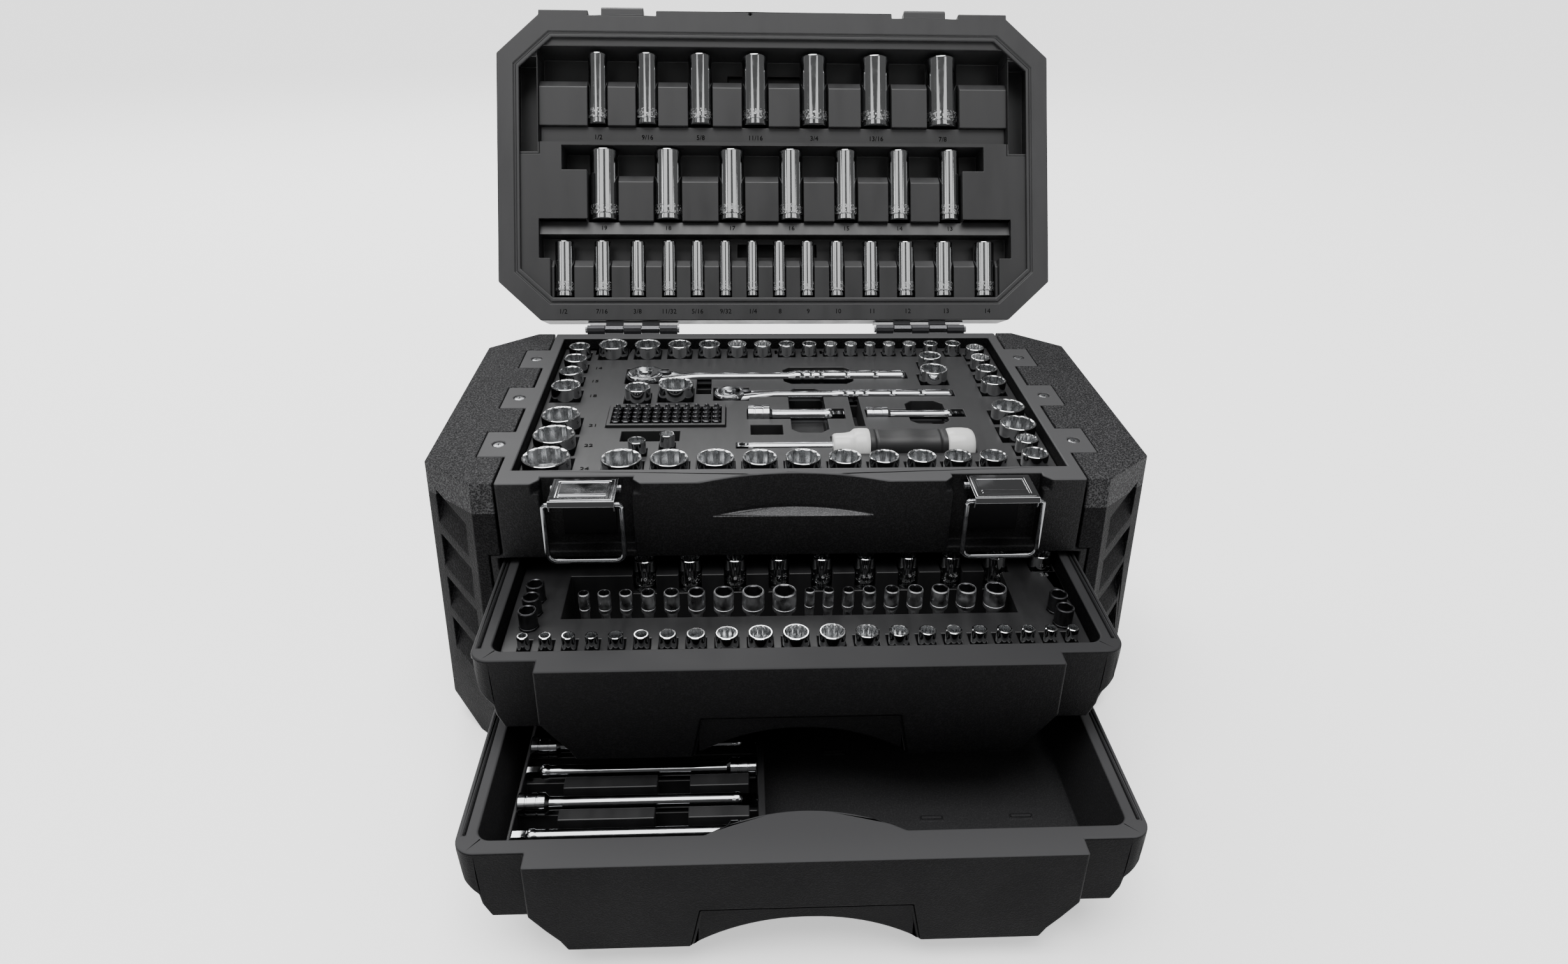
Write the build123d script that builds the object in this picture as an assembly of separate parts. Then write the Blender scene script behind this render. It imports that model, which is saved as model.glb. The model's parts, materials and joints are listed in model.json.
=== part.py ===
from build123d import *
import math
import os

# Tool case with a lifting lid, a top tray and two drawers. Millimetres, +X right, +Y to the
# hinge side, +Z up. The origin is the middle of the underside. Pieces are written as they
# stand with the lid open, both drawers pulled out, the latch levers raised and the bails
# hanging.

# Sides of the round pieces that repeat, and of the wire
sides_around = 8
socket_sides = 8
small_socket = 21.0
tool_sides = 8
head_sides = 12
wire_sides = 6
bend_steps = 3

# Main body
case_width = 500.0
case_depth = 282.0
body_height = 218.0
corner_run_x = 37.5
corner_run_y = 34.0
flare_x = 5.5
flare_y = 2.0
bevel_height = 22.0
wall = 3.0
touch_gap = 0.3

# Housing, the middle of the body
housing_width = 394.0
bay_width = 404.4
bay_top = 160.5
bay_wall = 3.5
base_thickness = 4.0
base_rib_height = 9.0
base_rib_width = 3.0
front_frame_depth = 4.0
rim_side = 8.5
rim_front = 20.0
rim_rear = 12.0
tab_thickness = 4.0
tab_reach = 19.5
tab_length = 40.0
tab_pitch = 81.0
cover_gap = 1.2
cover_top = 9.0
screw_shank = 2.0
screw_head = 4.2
screw_head_height = 2.4
screw_length = 7.5
screw_inset = 8.0
handle_half_width = 63.0
handle_depth = 13.0
handle_height = 26.0
ledge_half_width = 53.0
ledge_depth = 11.5

# Side cover relief
relief_top = 18.0
relief_depth = 4.5
relief_pitch = 35.0
relief_height = 25.0
relief_slant = 15.0
relief_half_width = 16.0
relief_backing = 7.0

# Lid
lid_height = 45.0
lid_short = 7.0
lid_rim = 20.0
lid_gap = 0.3
lid_bevel = 8.0
lid_draft = 2.0
lid_flange = 4.5
lid_flange_height = 11.0
lid_open_angle = 118.15
seal_width = 2.0
seal_depth = 1.2
insert_thickness = 2.5
insert_lap = 8.0
pocket_wall = 2.0
island_drop = 4.0
ledge_drop = 8.0
well_inset = 16.0
well_half_width = 9.5
well_far = 238.0
well_near = 153.0
well_sink = 24.0

# Hinges
hinge_back = 8.5
hinge_centre = 130.5
hinge_width = 81.0
knuckle_radius = 4.5
hinge_pin_radius = 2.0
pin_clearance = 0.05
leaf_thickness = 1.5
leaf_height = 24.0
knuckle_gap = 0.4
pin_head = 1.6
pin_head_step = 1.0

# Latches
latch_centre = 137.5
latch_recess_width = 61.0
latch_recess_depth = 10.0
latch_recess_height = 52.0
latch_pivot_drop = 6.0
latch_pivot_back = 6.5
latch_pin_radius = 1.5
latch_head_gap = 0.2
latch_sheet = 1.2
base_sheet = 1.5
lever_width = 42.6
lever_length = 31.5
lever_rise = 5.5
lever_ear = 9.0
base_width = 36.0
bail_wire = 1.8
bail_width = 54.0
bail_height = 42.0
bail_reach = 22.0
bail_bend = 6.0
catch_width = 38.0
catch_height = 11.5
catch_depth = 8.4
catch_lip = 2.4
catch_lip_rise = 3.0

# Drawers
drawer_width = 397.0
drawer_rear = 119.0
drawer_pitch = 70.0
drawer_top_gap = 4.5
drawer_flange = 3.5
drawer_front_proud = 6.0
drawer_front_rim = 10.0
drawer_block_depth = 30.0
drawer_corner = 12.0
drawer_skirt_height = 68.5
drawer_tub_depth = 51.0
drawer_wall = 2.5
drawer_inner_width = 374.0
drawer_draft = 9.0
bulge_width = 317.0
bulge_depth = 11.0
bulge_wall = 4.0
bulge_step_drop = 40.0
tab_inner = 66.0
tab_outer = 138.0
arch_rise = 21.0
scoop_depth = 1.6
arch_rim_depth = 17.0
arch_rim_half_width = 60.0
opening_gap = 1.2
middle_pull = 100.0
bottom_pull = 181.0
runner_gap = 0.4
runner_wall = 3.0
runner_lip = 8.0
runner_front_back = 26.0
runner_rear = 125.0
rail_groove = 1.2

# Top tray and its tools
tray_face_drop = 10.0
tray_clearance = 0.3
socket_rise = 0.0
socket_height = 28.0
socket_clearance = 0.3
socket_gap = 5.3
front_sizes = [28.4, 26.8, 26.4, 24.4, 24.9, 23.1, 21.2, 20.6, 20.0, 19.4]
left_sizes = [33.2, 30.3, 28.8]
left_small_sizes = [23.4, 19.8, 19.4, 18.4]
rear_sizes = [24.8, 22.8, 20.6, 19.2, 17.0, 15.4, 14.6, 13.0, 12.2, 11.4, 10.2, 11.4, 12.3, 13.2, 14.2]
right_small_sizes = [20.2, 18.0, 16.8, 16.2]
right_sizes = [19.0, 16.3, 26.7, 25.5]
inner_places = [(129.0, 86.0, 19.3), (127.0, 56.0, 23.3), (-116.0, 20.0, 20.5), (-86.0, 26.0, 28.0),
                (-109.0, -76.0, 13.0), (-88.0, -66.0, 11.0)]
tool_sink = 2.5
ratchet_head = 16.0
ratchet_shaft = 5.6
ratchet_grip = 7.0
ratchet_grip_length = 100.0
ratchet_butt = 50.0
large_ratchet_left = -129.2
large_ratchet_right = 106.0
large_ratchet_y = 66.0
large_ratchet_bed = 34.2
small_ratchet_left = -55.7
small_ratchet_right = 139.0
small_ratchet_y = 28.0
small_ratchet_bed = 28.2
small_ratchet_scale = 0.8
wide_bar_start = -29.0
wide_bar_length = 75.0
wide_bar_radius = 5.5
wide_bar_head = 9.0
narrow_bar_start = 63.0
narrow_bar_length = 77.0
short_bars_y = -11.0
spinner_x = 32.3
spinner_y = -66.0
spinner_radius = 14.0
spinner_length = 103.7
spinner_collar_length = 26.7
spinner_butt = 20.7
spinner_socket = 6.0
spinner_shaft_length = 66.0
bit_size = 6.35
bit_pitch = 7.6
bit_rows = 4
bits_in_row = 11
rack_x = -91.0
rack_y = -16.0
well_depth = 20.0
well_corner = 6.0
tray_wells = [(4.0, 32.0, -45.0, 38.0), (96.0, 126.0, -31.0, 12.0), (2.0, 60.0, 48.0, 84.0)]
tray_grooves = [(-70.0, -58.0, 28.0, 60.0), (52.0, 60.0, -34.0, 23.0), (-27.0, -3.0, -48.0, -31.0),
                (-123.0, -80.0, -58.0, -41.0)]

# Lid tools
lid_row_gap = 0.25
lid_row_one = [17.5, 19.6, 21.8, 23.8, 25.6, 27.7, 29.5]
lid_row_two = [26.4, 25.2, 23.8, 22.4, 21.2, 20.0, 18.6]
lid_row_three = [17.2, 15.4, 13.6, 12.6, 11.8, 10.8, 10.0, 11.4, 12.4, 13.6, 14.8, 16.0, 17.4, 18.6]
lid_row_one_x = [-161.1, -116.5, -68.1, -18.0, 36.0, 93.1, 155.1]
lid_row_two_x = [-156.4, -98.3, -40.1, 14.2, 64.8, 113.9, 160.8]
lid_row_three_x = [-192.4, -157.9, -126.0, -97.6, -72.0, -46.5, -21.9, 2.8, 28.4, 55.6, 86.9, 119.4, 154.7, 192.7]
deep_socket_length = 63.5
small_deep_length = 50.0

# Drawer tools
drawer_face_drop = 10.0
insert_inset = 2.4
drawer_socket_height = 25.0
drawer_front_sizes = [7.4, 8.0, 8.6, 8.1, 9.7, 9.8, 10.9, 12.1, 14.4, 15.6, 16.8, 16.8, 15.1, 12.8, 11.1, 10.5, 9.9,
                      9.9, 8.8, 8.2, 7.6]
drawer_front_gap = 5.9
drawer_rear_sizes = [15.3, 15.3, 14.7, 13.5, 14.2, 14.2, 13.6, 14.4, 16.3, 15.7]
drawer_rear_gap = 16.2
driver_sizes = [7.3, 8.5, 8.6, 9.7, 10.3, 11.6, 13.4, 14.7, 15.9, 6.7, 7.4, 8.0, 9.3, 9.9, 10.6, 11.8, 13.0, 14.9]
driver_gap = 5.5
driver_head = 15.0
driver_length = 40.0
driver_shank = 6.35
bar_start = -173.0
bar_length = 146.0
bar_radius = 4.5
bar_head = 7.0
bar_head_length = 18.0

# Values worked out from the sizes
half_x = case_width / 2
half_y = case_depth / 2
front = -half_y
rear = half_y
top = body_height
housing_half = housing_width / 2
bay_half = bay_width / 2
bay_outer = bay_half + bay_wall
tray_half = housing_half - rim_side
tray_front = front + rim_front
tray_rear = rear - rim_rear
tray_floor = bay_top + wall
tray_face = top - tray_face_drop
hinge_y = rear + hinge_back
hinge_z = top + lid_gap
pivot_y = front + latch_recess_depth - latch_pivot_back
pivot_z = top - latch_pivot_drop
drawer_top = bay_top - drawer_top_gap
drawer_half = drawer_width / 2
drawer_face_y = front - drawer_front_proud
bulge_y = drawer_face_y - bulge_depth
tub_front = drawer_face_y + drawer_front_rim
tub_half = drawer_inner_width / 2
lid_middle = lid_short / 2
lid_half_y = half_y - lid_short / 2
lid_base = top + lid_gap
insert_face = lid_base + wall


def block(x0, x1, y0, y1, z0, z1):
    """Box between two corners."""
    middle = Pos((x0 + x1) / 2, (y0 + y1) / 2, (z0 + z1) / 2)
    return middle * Box(abs(x1 - x0), abs(y1 - y0), abs(z1 - z0))


def seen_from_above(points, z0, z1):
    """Solid with its outline in plan, from one height to another."""
    corners = [(x, y, z0) for x, y in points]
    return extrude(make_face(Polyline(*corners, close=True)), z1 - z0, dir=(0, 0, 1))


def seen_from_front(points, y0, y1):
    """Solid with its outline in front view, from one depth to another."""
    corners = [(x, y0, z) for x, z in points]
    return extrude(make_face(Polyline(*corners, close=True)), y1 - y0, dir=(0, 1, 0))


def seen_from_side(points, x0, x1):
    """Solid with its outline in side view, from one width to another."""
    corners = [(x0, y, z) for y, z in points]
    return extrude(make_face(Polyline(*corners, close=True)), x1 - x0, dir=(1, 0, 0))


def rod(radius, x0, x1, y, z, sides):
    """Bar lying along X, with its edges on the radius."""
    section = RegularPolygon(radius, sides)
    return Pos(x0, y, z) * Rot(0, 90, 0) * extrude(section, x1 - x0, dir=(0, 0, 1))


def bore(radius, x0, x1, y, z):
    """Cutter along X whose flats lie on the radius, so that a turning pin clears them."""
    section = RegularPolygon(radius, sides_around, major_radius=False)
    return Pos(x0, y, z) * Rot(0, 90, 0) * extrude(section, x1 - x0, dir=(0, 0, 1))


def round_pin(radius, x0, x1, y, z):
    """Round pin lying along X, on which something turns."""
    return Pos(x0, y, z) * Rot(0, 90, 0) * extrude(Circle(radius), x1 - x0, dir=(0, 0, 1))


def post(radius, x, y, z0, z1, sides=sides_around):
    """Bar standing along Z, with its edges on the radius."""
    return Pos(x, y, z0) * extrude(RegularPolygon(radius, sides), z1 - z0, dir=(0, 0, 1))


def group(shapes):
    """Several solids that are written as one piece."""
    solids = []
    for shape in shapes:
        solids.extend(shape.solids())
    return Compound(children=solids)


def left_of(shape):
    """The same shape on the other side of the middle plane."""
    return mirror(shape, about=Plane.YZ)


def octagon(across_x, across_y, z, run_x, run_y):
    """Face with the case's cut corners at one height."""
    points = [
        (across_x, across_y - run_y),
        (across_x - run_x, across_y),
        (run_x - across_x, across_y),
        (-across_x, across_y - run_y),
        (-across_x, run_y - across_y),
        (run_x - across_x, -across_y),
        (across_x - run_x, -across_y),
        (across_x, run_y - across_y),
    ]
    corners = [(x, y, z) for x, y in points]
    return make_face(Polyline(*corners, close=True))


def body_octagon(z, inset, backing):
    """Outline of the flared body at one height, drawn in by an inset."""
    share = 1 - max(z - bevel_height, 0) / (top - bevel_height)
    across_x = half_x + flare_x * share - inset
    across_y = half_y + flare_y * share - inset
    trim = inset * 0.41 - backing
    return octagon(across_x, across_y, z, corner_run_x - trim, corner_run_y - trim)


def body_form(inset, floor, roof, backing):
    """The whole flared body with its bevelled foot, thicker by a backing at its cut corners."""
    upper = loft([body_octagon(bevel_height, inset, backing), body_octagon(roof, inset, backing)], ruled=True)
    lower = loft([body_octagon(floor, inset, backing), body_octagon(bevel_height, inset, backing)], ruled=True)
    form = upper + lower
    foot = half_x + flare_x - inset * 1.41
    low = floor - 1
    for side in (1, -1):
        outline = [
            (side * foot, bevel_height),
            (side * (foot + 20), bevel_height),
            (side * (foot + 20), low),
            (side * (foot - bevel_height + low), low),
        ]
        form -= seen_from_front(outline, 2 * front, 2 * rear)
    return form


def relief_cutters():
    """Slanted scoops in the cut corner at the front right, deep above and running out below."""
    length = math.hypot(corner_run_x, corner_run_y)
    along = Vector(-corner_run_x / length, -corner_run_y / length, 0)
    outward = Vector(corner_run_y / length, -corner_run_x / length, 0)
    middle = Vector(half_x - corner_run_x / 2, front + corner_run_y / 2, 0)
    cutters = []
    count = int((top - bevel_height - relief_slant - relief_top) // relief_pitch)
    for step in range(count):
        z = top - relief_top - step * relief_pitch
        share = (top - z + relief_height / 2) / (top - bevel_height)
        flare = flare_x * share * outward.X - flare_y * share * outward.Y
        start = middle + outward * flare - along * relief_half_width + Vector(0, 0, z)
        flat = Plane(origin=tuple(start), x_dir=tuple(outward), z_dir=tuple(along))
        up = 1 if flat.y_dir.Z > 0 else -1
        outline = [
            (2.0, 0.0),
            (-relief_depth, -up * 1.5),
            (-relief_depth, -up * 0.5 * relief_height),
            (2.0, -up * relief_height * 1.2),
        ]
        slope = along * (2 * relief_half_width) - Vector(0, 0, relief_slant)
        face = flat * make_face(Polyline(*outline, close=True))
        cutters.append(extrude(face, slope.length, dir=tuple(slope.normalized())))
    return cutters


def tab_places():
    """Depths at which the tabs and their screws lie."""
    return [tab_pitch, 0.0, -tab_pitch]


def side_cover():
    """Right side cover, a hollow moulding that is open towards the housing."""
    cover = body_form(0, 0, top, 0)
    upper_plane = housing_half + cover_gap
    lower_plane = bay_outer + touch_gap
    keep = block(upper_plane, half_x + 20, 2 * front, 2 * rear, bay_top + wall, top + 1)
    keep += block(lower_plane, half_x + 20, 2 * front, 2 * rear, -1, bay_top + wall)
    cover &= keep
    cover -= body_form(wall, wall, top - cover_top, relief_backing)
    for y in tab_places():
        reach = housing_half + tab_reach + touch_gap
        half = tab_length / 2 + touch_gap
        cover -= block(upper_plane - 1, reach, y - half, y + half, top - tab_thickness, top + 1)
        place = housing_half + screw_inset
        cover -= post(screw_shank + pin_clearance, place, y, top - cover_top - 1, top)
    for cutter in relief_cutters():
        cover -= cutter
        cover -= mirror(cutter, about=Plane.XZ)
    return cover


def side_cover_screws():
    """Six screws that hold the covers to the tabs."""
    screws = []
    for side in (1, -1):
        for y in tab_places():
            place = side * (housing_half + screw_inset)
            head = post(screw_head, place, y, top - screw_head_height, top - 0.4)
            shank = post(screw_shank, place, y, top - screw_length, top - screw_head_height)
            screws.append(head + shank)
    return group(screws)


def drawer_profile():
    """Right half of the drawer front's stepped outline, below its rim."""
    return [
        (drawer_half, 0.0),
        (drawer_half - 4, -0.49 * drawer_tub_depth),
        (drawer_half - 11.5, -0.65 * drawer_tub_depth),
        (drawer_half - 12.5, -0.8 * drawer_tub_depth),
        (drawer_half - 17, -drawer_tub_depth),
    ]


def housing():
    """Middle moulding with the top tray bay, the drawer bay, the rim and the base."""
    form = block(-housing_half, housing_half, front, rear, bay_top, top)
    form += block(-bay_outer, bay_outer, front, rear, 0, bay_top + wall)
    form -= block(-tray_half, tray_half, tray_front, tray_rear, tray_floor, top + 1)
    inner_front = front + front_frame_depth
    form -= block(-bay_half, bay_half, inner_front, rear - bay_wall, base_thickness, bay_top)
    form -= drawer_openings()
    form += base_ribs()
    form = with_tabs(form)
    form -= latch_recesses()
    form -= handle_cut()
    return form


def drawer_openings():
    """The front opening, which follows the stepped outline of both drawers."""
    right = []
    for level, high in ((drawer_top, bay_top), (drawer_top - drawer_pitch, drawer_top - drawer_pitch + opening_gap)):
        profile = [(x + opening_gap, z + level) for x, z in drawer_profile()]
        flange = (profile[0][0], level - drawer_flange - opening_gap)
        right.extend([(profile[0][0], high), flange] + profile[1:4])
        right.append((profile[3][0], level - drawer_tub_depth - opening_gap))
    right[5] = (right[4][0], right[6][1])
    outline = right + [(-x, z) for x, z in reversed(right)]
    return seen_from_front(outline, front - 1, front + front_frame_depth + 1)


def base_ribs():
    """Ribs that stiffen the floor under the bottom drawer."""
    ribs = []
    inner_front = front + front_frame_depth
    for x in (-0.6 * bay_half, -0.2 * bay_half, 0.2 * bay_half, 0.6 * bay_half):
        ribs.append(block(x, x + base_rib_width, inner_front, rear - bay_wall, base_thickness - 1, base_rib_height))
    for y in (-0.25 * case_depth, 0.25 * case_depth):
        ribs.append(block(-bay_half, bay_half, y, y + base_rib_width, base_thickness - 1, base_rib_height))
    return ribs


def with_tabs(form):
    """Adds the three screw tabs on each side of the rim."""
    for side in (1, -1):
        for y in tab_places():
            edge = side * (housing_half - 1)
            reach = side * (housing_half + tab_reach)
            form += block(edge, reach, y - tab_length / 2, y + tab_length / 2, top - tab_thickness, top)
            place = side * (housing_half + screw_inset)
            form -= post(screw_head + touch_gap, place, y, top - screw_head_height, top + 1)
            form -= post(screw_shank + pin_clearance, place, y, top - tab_thickness - 1, top)
    return form


def latch_recesses():
    """Two recesses in the front wall that open at the rim."""
    half = latch_recess_width / 2
    depth = front + latch_recess_depth
    floor = top - latch_recess_height
    recess = block(latch_centre - half, latch_centre + half, front - 1, depth, floor, top + 1)
    for side in (1, -1):
        edge = latch_centre + side * half
        corner = [(edge, front - 1), (edge + side * 6, front - 1), (edge, front + 6)]
        recess += seen_from_above(corner, top - 8, top + 1)
    return [recess, left_of(recess)]


def handle_cut():
    """Hollow of the grip: it arches back at the rim and ends below on a flat ledge."""
    sections = []
    rim = (handle_half_width, handle_depth, top + 1)
    ledge = (ledge_half_width, ledge_depth, top - handle_height)
    for half, depth, z in (rim, ledge):
        ends = [(-half, front, z), (half, front, z)]
        back = ThreePointArc(ends[0], (0, front + depth, z), ends[1])
        square = Polyline(ends[1], (half, front - 4, z), (-half, front - 4, z), ends[0])
        sections.append(make_face(back + square))
    return loft(sections, ruled=True)


def drawer_runner(level, side):
    """Channel on the bay wall in which the flange of a drawer slides."""
    x_wall = bay_half - 0.0
    x_in = bay_half - runner_lip - runner_wall
    y0 = front + runner_front_back
    high = level + runner_gap
    low = level - drawer_flange - runner_gap
    channel = block(x_in, x_wall, y0, runner_rear, low - runner_wall, low)
    channel += block(x_wall - runner_wall + 0.5, x_wall, y0, runner_rear, low - runner_wall, high + runner_wall)
    channel += block(x_in + 4, x_wall, y0, runner_rear, high, high + runner_wall)
    return channel if side > 0 else left_of(channel)


def tub_form(inset, depth, rise):
    """Tapered tub with rounded corners, below the drawer's rim."""
    y0 = tub_front - inset
    y1 = drawer_rear - 3 + inset
    across = 2 * (tub_half + inset)
    long = y1 - y0
    middle = (y0 + y1) / 2
    upper = Pos(0, middle, rise) * RectangleRounded(across, long, 8 + inset)
    lower = Pos(0, middle, -depth) * RectangleRounded(across - 2 * drawer_draft, long - drawer_draft, 8 + inset)
    return loft([lower, upper], ruled=True)


def drawer_skirt():
    """Hanging front panel with two tabs and the finger arch between them."""
    half = bulge_width / 2
    step = -bulge_step_drop
    right = [
        (half, 0.0),
        (half, step),
        (half - 9, step - 12),
        (tab_outer + 4, step - 12 - 9),
        (tab_outer, -drawer_skirt_height),
        (tab_inner, -drawer_skirt_height),
    ]
    flat = [(-x, z) for x, z in reversed(right)]
    edge = Polyline(*[(x, bulge_y, z) for x, z in flat + right])
    arch_top = (0, bulge_y, arch_rise - drawer_skirt_height)
    arch = ThreePointArc((tab_inner, bulge_y, -drawer_skirt_height), arch_top, (-tab_inner, bulge_y, -drawer_skirt_height))
    panel = extrude(make_face(edge + arch), bulge_wall, dir=(0, 1, 0))
    scoop = [
        (-arch_rim_half_width - 1, step + 2),
        (arch_rim_half_width + 1, step + 2),
        (tab_inner + 1, -drawer_skirt_height - 1),
        (-tab_inner - 1, -drawer_skirt_height - 1),
    ]
    panel -= seen_from_front(scoop, bulge_y - 1, bulge_y + scoop_depth)
    inner = bulge_y + bulge_wall - 1
    returns = block(half - bulge_wall, half, inner, drawer_face_y + 1, step, 0)
    returns += left_of(returns)
    lid = block(-half, half, bulge_y, drawer_face_y + 1, -drawer_flange, 0)
    return panel + returns + lid


def drawer_shell(arched):
    """Moulded drawer: flange, tub, stepped front block and hanging front panel."""
    long = drawer_rear - drawer_face_y
    middle = (drawer_rear + drawer_face_y) / 2
    plan = Pos(0, middle, -drawer_flange) * RectangleRounded(drawer_width, long, drawer_corner)
    form = extrude(plan, drawer_flange, dir=(0, 0, 1))
    right = drawer_profile()
    outline = right + [(-x, z) for x, z in reversed(right)]
    front_block = seen_from_front(outline, drawer_face_y, drawer_face_y + drawer_block_depth)
    corner = extrude(plan, drawer_tub_depth * 2, dir=(0, 0, 1), both=True)
    front_block &= corner
    form += front_block
    form += tub_form(drawer_wall, drawer_tub_depth, 0)
    form += drawer_skirt()
    form -= tub_form(0, drawer_tub_depth - drawer_wall, 1)
    groove = drawer_half - 5
    for side in (1, -1):
        form -= block(side * groove, side * (groove + rail_groove), tub_front + 4, drawer_rear - 4, -rail_groove, 1)
    if arched:
        form += arched_rim()
    return form


def arched_rim():
    """Widened middle of the front rim, arched in plan."""
    z = -drawer_flange
    start = (-arch_rim_half_width, tub_front - 1, z)
    end = (arch_rim_half_width, tub_front - 1, z)
    arc = ThreePointArc(start, (0, tub_front + arch_rim_depth, z), end)
    return extrude(make_face(arc + Line(end, start)), drawer_flange, dir=(0, 0, 1))


def socket(width, length, depth):
    """Socket standing on its drive end, with its six sided mouth upwards."""
    small = width < small_socket
    body = extrude(RegularPolygon(width / 2, 6 if small else socket_sides), length, dir=(0, 0, 1))
    mouth = RegularPolygon(0.37 * width, 4) if small else RegularPolygon(0.33 * width, 6, major_radius=False)
    return body - Pos(0, 0, length - depth) * extrude(mouth, depth + 1, dir=(0, 0, 1))


def row_places(sizes, gap, start):
    """Centres of round things side by side with the same gap between them."""
    places = []
    edge = start
    for size in sizes:
        places.append(edge + size / 2)
        edge += size + gap
    return places


def top_sockets():
    """Centre, size and group of each socket that stands in the top tray."""
    found = []
    front_y = tray_front + 17.0
    for x, size in zip(row_places(front_sizes, socket_gap, -131.5), front_sizes):
        found.append(("front", x, front_y, size))
    left_x = -tray_half + 19.5
    for y, size in zip(row_places(left_sizes, 4.6, tray_front + 3.0), left_sizes):
        found.append(("left", left_x, y, size))
    for y, size in zip(row_places(left_small_sizes, 8.6, 13.0), left_small_sizes):
        found.append(("left", left_x - 4.0, y, size))
    rear_y = tray_rear - 13.5
    for x, size in zip(row_places(rear_sizes, 6.15, -157.0), rear_sizes):
        found.append(("rear", x, rear_y, size))
    right_x = tray_half - 16.5
    for y, size in zip(row_places(right_small_sizes, 7.0, 21.0), right_small_sizes):
        found.append(("right", right_x, y, size))
    for y, size in zip(row_places(right_sizes, 5.2, tray_front + 11.0), right_sizes):
        found.append(("right", right_x, y, size))
    for x, y, size in inner_places:
        found.append(("inner", x, y, size))
    return found


def standing_sockets(name):
    """The sockets of one side of the top tray."""
    base = top + socket_rise - socket_height
    made = []
    for group_name, x, y, size in top_sockets():
        if group_name == name:
            made.append(Pos(x, y, base) * socket(size, socket_height, 9))
    return group(made)


def top_tray_insert():
    """Moulded insert: a face with hollow pockets that hang below it."""
    edge = tray_clearance
    x_edge = tray_half - edge
    y0 = tray_front + edge
    y1 = tray_rear - edge
    form = block(-x_edge, x_edge, y0, y1, tray_face - insert_thickness, tray_face)
    form += block(-x_edge, -x_edge + pocket_wall, y0, y1, tray_floor, tray_face)
    form += block(x_edge - pocket_wall, x_edge, y0, y1, tray_floor, tray_face)
    form += block(-x_edge, x_edge, y0, y0 + pocket_wall, tray_floor, tray_face)
    form += block(-x_edge, x_edge, y1 - pocket_wall, y1, tray_floor, tray_face)
    base = top + socket_rise - socket_height
    for x0, x1, low, high in pocket_rows(socket_clearance + pocket_wall):
        form += block(x0, x1, max(low, y0), min(high, y1), base - pocket_wall, tray_face)
    for x0, x1, y, radius in lying_tools():
        reach = radius + pocket_wall
        form += block(x0 - 2, x1 + 2, y - reach, y + reach, tool_level(radius) - pocket_wall, tray_face)
    form += block(*rack_plan(pocket_wall), rack_base() - pocket_wall, tray_face)
    well_floor = tray_face - well_depth
    for plan in tray_wells:
        form += seen_from_above(cut_corners(plan, pocket_wall), well_floor - pocket_wall, tray_face)
    for x0, x1, low, high in tray_grooves:
        form += block(x0 - pocket_wall, x1 + pocket_wall, low - pocket_wall, high + pocket_wall,
                      well_floor - pocket_wall, tray_face)
    for name, x, y, size in top_sockets():
        reach = size / 2 + socket_clearance
        form -= block(x - reach, x + reach, y - reach, y + reach, base, tray_face + 1)
    for x0, x1, y, radius in lying_tools():
        form -= block(x0, x1, y - radius, y + radius, tool_level(radius), tray_face + 1)
    form -= block(*rack_plan(0), rack_base(), tray_face + 1)
    for plan in tray_wells:
        form -= seen_from_above(cut_corners(plan, 0), well_floor, tray_face + 1)
    for x0, x1, low, high in tray_grooves:
        form -= block(x0, x1, low, high, well_floor, tray_face + 1)
    return form


def cut_corners(plan, grow):
    """Outline of a finger well with cut corners, grown by a wall."""
    x0, x1, low, high = plan[0] - grow, plan[1] + grow, plan[2] - grow, plan[3] + grow
    run = well_corner + 0.59 * grow
    return [
        (x0 + run, low),
        (x1 - run, low),
        (x1, low + run),
        (x1, high - run),
        (x1 - run, high),
        (x0 + run, high),
        (x0, high - run),
        (x0, low + run),
    ]


def pocket_rows(grow):
    """Plans of the blocks that carry the pockets: one along each side, and the single ones."""
    plans = []
    for side in ("front", "left", "rear", "right"):
        row = [found for found in top_sockets() if found[0] == side]
        plans.append((
            min(x - size / 2 for name, x, y, size in row) - grow,
            max(x + size / 2 for name, x, y, size in row) + grow,
            min(y - size / 2 for name, x, y, size in row) - grow,
            max(y + size / 2 for name, x, y, size in row) + grow,
        ))
    for x, y, size in inner_places:
        reach = size / 2 + grow
        plans.append((x - reach, x + reach, y - reach, y + reach))
    return plans


def tool_level(radius):
    """Floor of the pocket of a lying tool."""
    return tool_axis() - radius


def tool_axis():
    """Height of the middle line of the lying tools."""
    return tray_face - tool_sink


def lying_tools():
    """Pockets of the lying tools: ends along X, middle line and half width."""
    gap = touch_gap
    large_neck = large_ratchet_left + large_ratchet_bed
    small_neck = small_ratchet_left + small_ratchet_bed
    wide_end = wide_bar_start + wide_bar_length
    narrow_end = narrow_bar_start + narrow_bar_length
    return [
        (large_ratchet_left - gap, large_neck, large_ratchet_y, ratchet_head + gap),
        (large_neck, large_ratchet_right + gap, large_ratchet_y, ratchet_grip + gap),
        (small_ratchet_left - gap, small_neck, small_ratchet_y, ratchet_head * small_ratchet_scale + gap),
        (small_neck, small_ratchet_right + gap, small_ratchet_y, ratchet_grip * 0.9 + gap),
        (wide_bar_start - gap, wide_end + gap, short_bars_y, wide_bar_head + 0.1 + gap),
        (narrow_bar_start - gap, narrow_end + gap, short_bars_y, bar_head + gap),
        (spinner_x - spinner_shaft_length - 4.3, spinner_x, spinner_y, bar_radius + touch_gap),
        (spinner_x - touch_gap, spinner_x + spinner_length + touch_gap, spinner_y, spinner_radius + touch_gap),
    ]


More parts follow.
